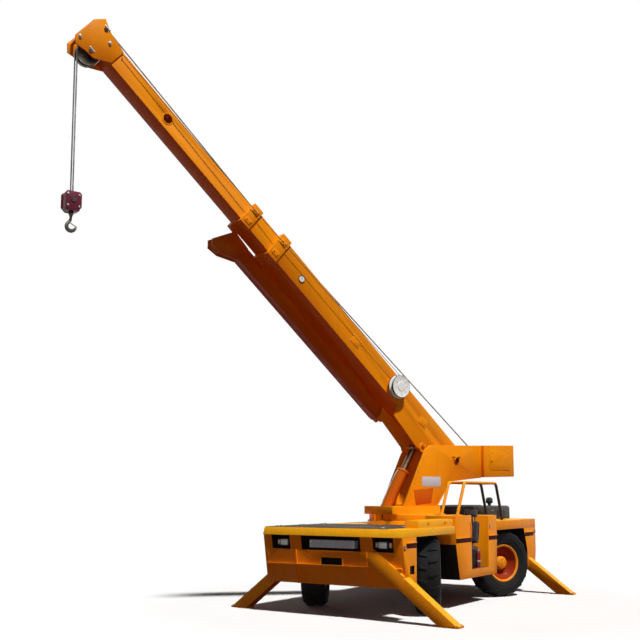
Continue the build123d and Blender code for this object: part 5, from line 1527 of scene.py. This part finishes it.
def load_cable():
    """Thin cable from the reel through an eye on each collar to the head, on the left side."""
    # along the boom, left of its middle, square to it, and the section it is on
    stops = ((1.800, 0.300, 0.230, "boom_base"),
             (BASE_END - 0.10, 0.262, 0.150, "boom_base"),
             (MID_END - 0.10, 0.235, 0.150, "boom_mid"),
             (FLY_END - 0.150, 0.178, 0.150, "boom_fly"))
    for start, end in zip(stops, stops[1:]):
        first, last = (on_boom(l, h, y) for l, y, h, _ in (start, end))
        body = start[3]
        wire = run([first, first.lerp(last, 0.33), first.lerp(last, 0.67), last], 0.0045, sides=2)
        if body == end[3]:
            keep(wire, "load_cable_base", body, HOSE_RUBBER)
        else:
            piece = keep(wire, "load_cable_" + end[3], None, HOSE_RUBBER)
            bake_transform(piece)
    for l, y, h, body in stops[1:]:
        ring = turned([(0.012 + 0.004 * cos(a), 0.004 * sin(a))
                       for a in [2 * pi * n / 8 for n in range(9)]], 18)
        ring.data.transform(facing(ALONG, on_boom(l, h, y), NORMAL))
        foot = rod(on_boom(l, h, y - 0.014), on_boom(l, h, y - 0.032), 0.004, vertices=10)
        keep(joined([ring, foot]), "load_cable_eye_" + body, body, ZINC_BOLT)


# ---------------------------------------------------------------- jib
def jib():
    """Stowed jib with hinge ears, stow pins and edge strips."""
    # painted shade: the jib and its edge strips are a deeper orange, as under the boom
    dress("jib", "boom_base", PAINTED_SHADE_ORANGE, bevel=0.004)
    low, high, inner, outer = -0.360, -0.110, -0.235, -0.385
    ears, pins = [], []
    for y in (inner - 0.008, outer + 0.020):
        ears.append(plate([(1.40, low + 0.02), (1.52, low + 0.005), (1.52, high - 0.005),
                           (1.40, high - 0.02), (1.375, -0.185), (1.375, -0.285)], y - 0.006,
                          y + 0.006, 0.003))
    for z in (-0.175, -0.295):
        pins.append(rod((1.415, outer + 0.005, z), (1.415, inner + 0.008, z), 0.016, 0.002, 18))
    for l in (1.955, 4.355):
        pins.append(rod((l, -0.300, -0.120), (l, -0.300, -0.035), 0.015, 0.002, 18))
        pins.append(rod((l - 0.03, -0.300, -0.045), (l + 0.03, -0.300, -0.045), 0.005, vertices=10))
    for l, h in ((5.400, -0.170), (5.400, -0.300), (5.560, -0.440)):
        pins.append(rod((l, outer - 0.014, h), (l, outer + 0.012, h), 0.022, 0.002, 20))
    keep(joined(ears), "jib_ears", "boom_base", ORANGE, BOOM)
    keep(joined(pins), "jib_pins", "boom_base", ZINC_BOLT, BOOM)
    strips = [block((1.55, y - 0.004, z - 0.004), (5.16, y + 0.004, z + 0.004), 0.002)
              for y in (outer, inner) for z in (low, high)]
    keep(joined(strips), "jib_corner_welds", "boom_base", PAINTED_SHADE_ORANGE, BOOM)
    spots = [BOOM @ axes((1, 0, 0), (0, 0, 1), (0, -1, 0), (l, outer, z))
             for l in (5.20, 5.30) for z in (-0.15, -0.32)]
    bolted("jib_tip_bolts", "boom_base", spots, 0.020)


# ---------------------------------------------------------------- hoist rope, block and hook
def wire_rope(points, radius, lay=0.14, lobes=6):
    """Stranded rope along straight runs: a lobed section that twists once in each lay."""
    count = lobes * 3
    section, outline = new_curve("POLY", count)
    for n, item in enumerate(outline.points):
        angle = 2 * pi * n / count
        reach = radius * (1.0 if n % 3 else 0.80)
        item.co = (reach * cos(angle), reach * sin(angle), 0, 1)
    outline.use_cyclic_u = True
    section.data.dimensions = "2D"
    line, spline = new_curve("NURBS", len(points))
    curve = line.data
    travelled, before = 0.0, Vector(points[0])
    for item, point in zip(spline.points, points):
        point = Vector(point)
        travelled += (point - before).length
        item.co = (*point, 1)
        item.tilt = 2 * pi * travelled / lay
        before = point
    spline.use_endpoint_u = True
    spline.order_u = 2
    longest = max((Vector(b) - Vector(a)).length for a, b in zip(points, points[1:]))
    spline.resolution_u = max(2, min(512, round(longest / lay * 10)))
    curve.bevel_mode = "OBJECT"
    curve.bevel_object = section
    curve.use_fill_caps = True
    curve.twist_mode = "MINIMUM"
    activate(line)
    bpy.ops.object.convert(target="MESH")
    line = bpy.context.object
    bpy.data.objects.remove(section)
    return line


def arc(centre, radius, first, last, y, count):
    """Points on a sheave's groove, from one angle to another in the boom's plane."""
    return [on_boom(centre[0] + radius * cos(radians(first + (last - first) * n / (count - 1))),
                    centre[1] + radius * sin(radians(first + (last - first) * n / (count - 1))), y)
            for n in range(count)]


def hoist_rope():
    """Rope from the winch over the collars to the head, in a run for each pair of bodies."""
    winch_top = FWD * -1.560 + UP * 2.654
    lead = FWD * -1.900 + UP * 2.612
    base_guide = on_boom(BASE_END - 0.10, BASE_TOP + 0.078)
    mid_guide = on_boom(MID_END - 0.10, MID_TOP + 0.078)
    mast_end = winch_top.lerp(base_guide, 0.13)
    first = wire_rope([lead, winch_top, winch_top.lerp(mast_end, 0.25),
                       winch_top.lerp(mast_end, 0.5), winch_top.lerp(mast_end, 0.75), mast_end],
                      ROPE_R)
    piece = keep(first, "hoist_rope_tail", None, WIRE_ROPE, smooth=80)
    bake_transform(piece)
    keep(wire_rope([mast_end, base_guide], ROPE_R), "hoist_rope_base", "boom_base",
         WIRE_ROPE, smooth=80)
    over = on_boom(TOP_PIN[0], TOP_PIN[1] + TOP_GROOVE, FALL_Y)
    for start, end, one, other in ((base_guide, mid_guide, "boom_base", "boom_mid"),
                                   (mid_guide, over, "boom_mid", "boom_fly")):
        piece = keep(wire_rope([start, start.lerp(end, 0.5), end], ROPE_R), "hoist_rope_" + other,
                     None, WIRE_ROPE, smooth=80)
        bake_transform(piece)
    # each fall stays on the lower sheave from where it meets it to where it hangs plumb
    leaving = -degrees(atan2(ALONG.z, ALONG.dot(FWD)))
    wraps = {y: arc(LOW_PIN, LOW_GROOVE, 6, leaving, y, 16) for y in (FALL_Y, 0, -FALL_Y)}
    lead = wire_rope(arc(TOP_PIN, TOP_GROOVE, 90, 8, FALL_Y, 9) + wraps[FALL_Y][:1], ROPE_R)
    # the other fall goes over its own pair of sheaves and ends in a socket on the tie pin
    anchor = on_boom(*TIE_PINS[0], -FALL_Y)
    leave = on_boom(TOP_PIN[0] - 0.0855, TOP_PIN[1] + 0.0520, -FALL_Y)
    back = [anchor.lerp(leave, 0.4)] + arc(TOP_PIN, TOP_GROOVE, 149, 8, -FALL_Y, 15)
    dead = wire_rope(back + wraps[-FALL_Y][:1], ROPE_R)
    keep(joined([lead, dead]), "hoist_rope_head", "boom_fly", WIRE_ROPE, smooth=80)
    piece = keep(joined([wire_rope(wraps[y], ROPE_R) for y in (FALL_Y, -FALL_Y)]),
                 "hoist_rope_wrap", None, WIRE_ROPE, smooth=80)
    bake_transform(piece)
    socket = turned([(0, -0.028), (0.024, -0.022), (0.028, 0.0), (0.024, 0.035), (0.016, 0.095),
                     (0, 0.10)], 20)
    keep(socket, "rope_socket", "boom_fly", FORGED_STEEL, facing(leave - anchor, anchor))


def falls():
    """The two falls between the head sheaves and the block."""
    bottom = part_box("hook_block")[1][2]
    out = FWD * LOW_GROOVE
    lines = []
    for y in (FALL_Y, -FALL_Y):
        top = HEAD + out + LEFT * y
        lines.append(wire_rope([top, Vector((top.x, top.y, bottom - 0.01))], ROPE_R))
    piece = keep(joined(lines), "rope_falls", None, WIRE_ROPE, smooth=80, node="rope_fall")
    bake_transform(piece)


def hook_block():
    """Block of two cheek plates with weights between them, rope bushes, bolts and a swivel seat."""
    low, high = corners("hook_block")
    at = HEAD + FWD * LOW_GROOVE
    place = axes(FWD, LEFT, UP, (at.x, at.y, high.z))
    half, tall = 0.095, high.z - low.z
    body = block((-0.100, -half + 0.018, -tall + 0.006), (0.100, half - 0.018, -0.006), 0.020, 4)
    keep(body, "block_weights", "hook", MAROON, place, node="hook_block")
    outline = [(-0.115, -0.030), (-0.088, 0.0), (0.088, 0.0), (0.115, -0.030),
               (0.115, -tall + 0.055), (0.060, -tall), (-0.060, -tall), (-0.115, -tall + 0.055)]
    cheeks = [plate(outline, y - 0.007, y + 0.007, 0.003) for y in (half - 0.010, -half + 0.010)]
    keep(joined(cheeks), "block_cheeks", "hook", MAROON, place)
    spots = []
    for side in SIDES:
        spots += [place @ axes((1, 0, 0), (0, 0, -side), (0, side, 0),
                               (x, side * (half - 0.003), z)) for x,
                  z in ((-0.080, -0.045), (0.080, -0.045), (0.080, -0.205), (-0.080, -0.205))]
    bolted("block_bolts", "hook", spots, 0.026)
    pin = turned([(0, 0.012), (0.034, 0.012), (0.040, 0.006), (0.042, -0.001), (0, -0.001)], 28)
    ends = [place @ axes((1, 0, 0), (0, 0, -side), (0, side, 0), (0, side * (half - 0.003), -0.120))
            for side in SIDES]
    keep(repeated(pin, ends), "block_pin_caps", "hook", OILED_STEEL)
    bush = turned([(0.013, -0.004), (0.013, 0.010), (0.018, 0.014), (0.026, 0.010), (0.028, -0.004),
                   (0.013, -0.004)], 24)
    keep(repeated(bush, [place @ shift(0, y, -0.006) for y in (FALL_Y, -FALL_Y)]),
         "block_rope_bushes", "hook", BLACK_PLASTIC)


def hook():
    """Forged hook: a bar that swells at the bowl and tapers to the point, with nut and latch."""
    low = corners("hook_block")[0]
    at = HEAD + FWD * LOW_GROOVE
    place = axes(FWD, LEFT, UP, (at.x, at.y, low.z))
    points = ((0.000, -0.050, 0.018), (0.000, -0.095, 0.019), (0.008, -0.130, 0.022),
              (0.042, -0.160, 0.024), (0.061, -0.200, 0.027), (0.050, -0.248, 0.029),
              (0.004, -0.270, 0.030), (-0.044, -0.256, 0.026), (-0.072, -0.220, 0.018),
              (-0.082, -0.190, 0.008))
    bar, spline = new_curve("NURBS", len(points))
    for item, (x, z, radius) in zip(spline.points, points):
        item.co = (x, 0, z, 1)
        item.radius = radius / 0.03
    spline.use_endpoint_u = True
    spline.order_u = 4
    spline.resolution_u = 6
    bar.data.bevel_depth = 0.03
    bar.data.bevel_resolution = 6
    bar.data.use_fill_caps = True
    bpy.ops.object.convert(target="MESH")
    bar = bpy.context.object
    with editing(bar):
        bpy.ops.transform.resize(value=(1, 0.82, 1), center_override=(0, 0, 0))
    modify(bar, "SUBSURF", levels=1, render_levels=1)
    keep(bar, "hook_forging", "hook", FORGED_STEEL, place, smooth=70, node="hook")
    nut = turned([(0, 0), (0.034, 0), (0.038, -0.006), (0.038, -0.030), (0.030, -0.036),
                  (0.026, -0.050), (0.022, -0.062), (0, -0.062)], 32)
    keep(nut, "hook_swivel", "hook", OILED_STEEL, place)
    latch = plate([(0.024, -0.150), (0.018, -0.142), (-0.088, -0.196), (-0.080, -0.206)],
                  -0.010, 0.010, 0.002)
    pin = rod((0.016, -0.022, -0.148), (0.016, 0.022, -0.148), 0.006, 0.001, 12)
    keep(joined([latch, pin]), "hook_latch", "hook", ZINC_BOLT, place)


# ---------------------------------------------------------------- outriggers
def outriggers():
    """Outrigger beams with gusseted feet, and the bolts of each foot."""
    for corner in CORNERS:
        beam = "outrigger_" + corner
        dress(beam, beam, ORANGE, bevel=0.006)
        side = 1 if "left" in corner else -1
        low, high = corners(beam)
        x = (low.x + high.x) / 2
        foot = 1.880 * side
        gussets = []
        for dx in (-0.062, 0.062):
            gusset = plate([(0.0, 0.028), (0.135, 0.028), (0.135, 0.036), (0.03, 0.11),
                            (-0.02, 0.10)], dx - 0.005, dx + 0.005, 0.002)
            place = axes((0, side, 0), (1, 0, 0), UP, (x, foot - 0.02 * side, 0))
            gussets.append(swung(gusset, place))
        keep(joined(gussets), beam + "_gussets", beam, ORANGE)
        spots = [shift(x + dx, foot + 0.135 * side, 0.030) for dx in (-0.070, 0.070)]
        bolted(beam + "_foot_bolts", beam, spots, 0.024)


boom_steel()
collar_details()
rope_guides()
head_details()
base_details()
cable_reel()
load_cable()
jib()
hoist_rope()
falls()
hook_block()
hook()
outriggers()
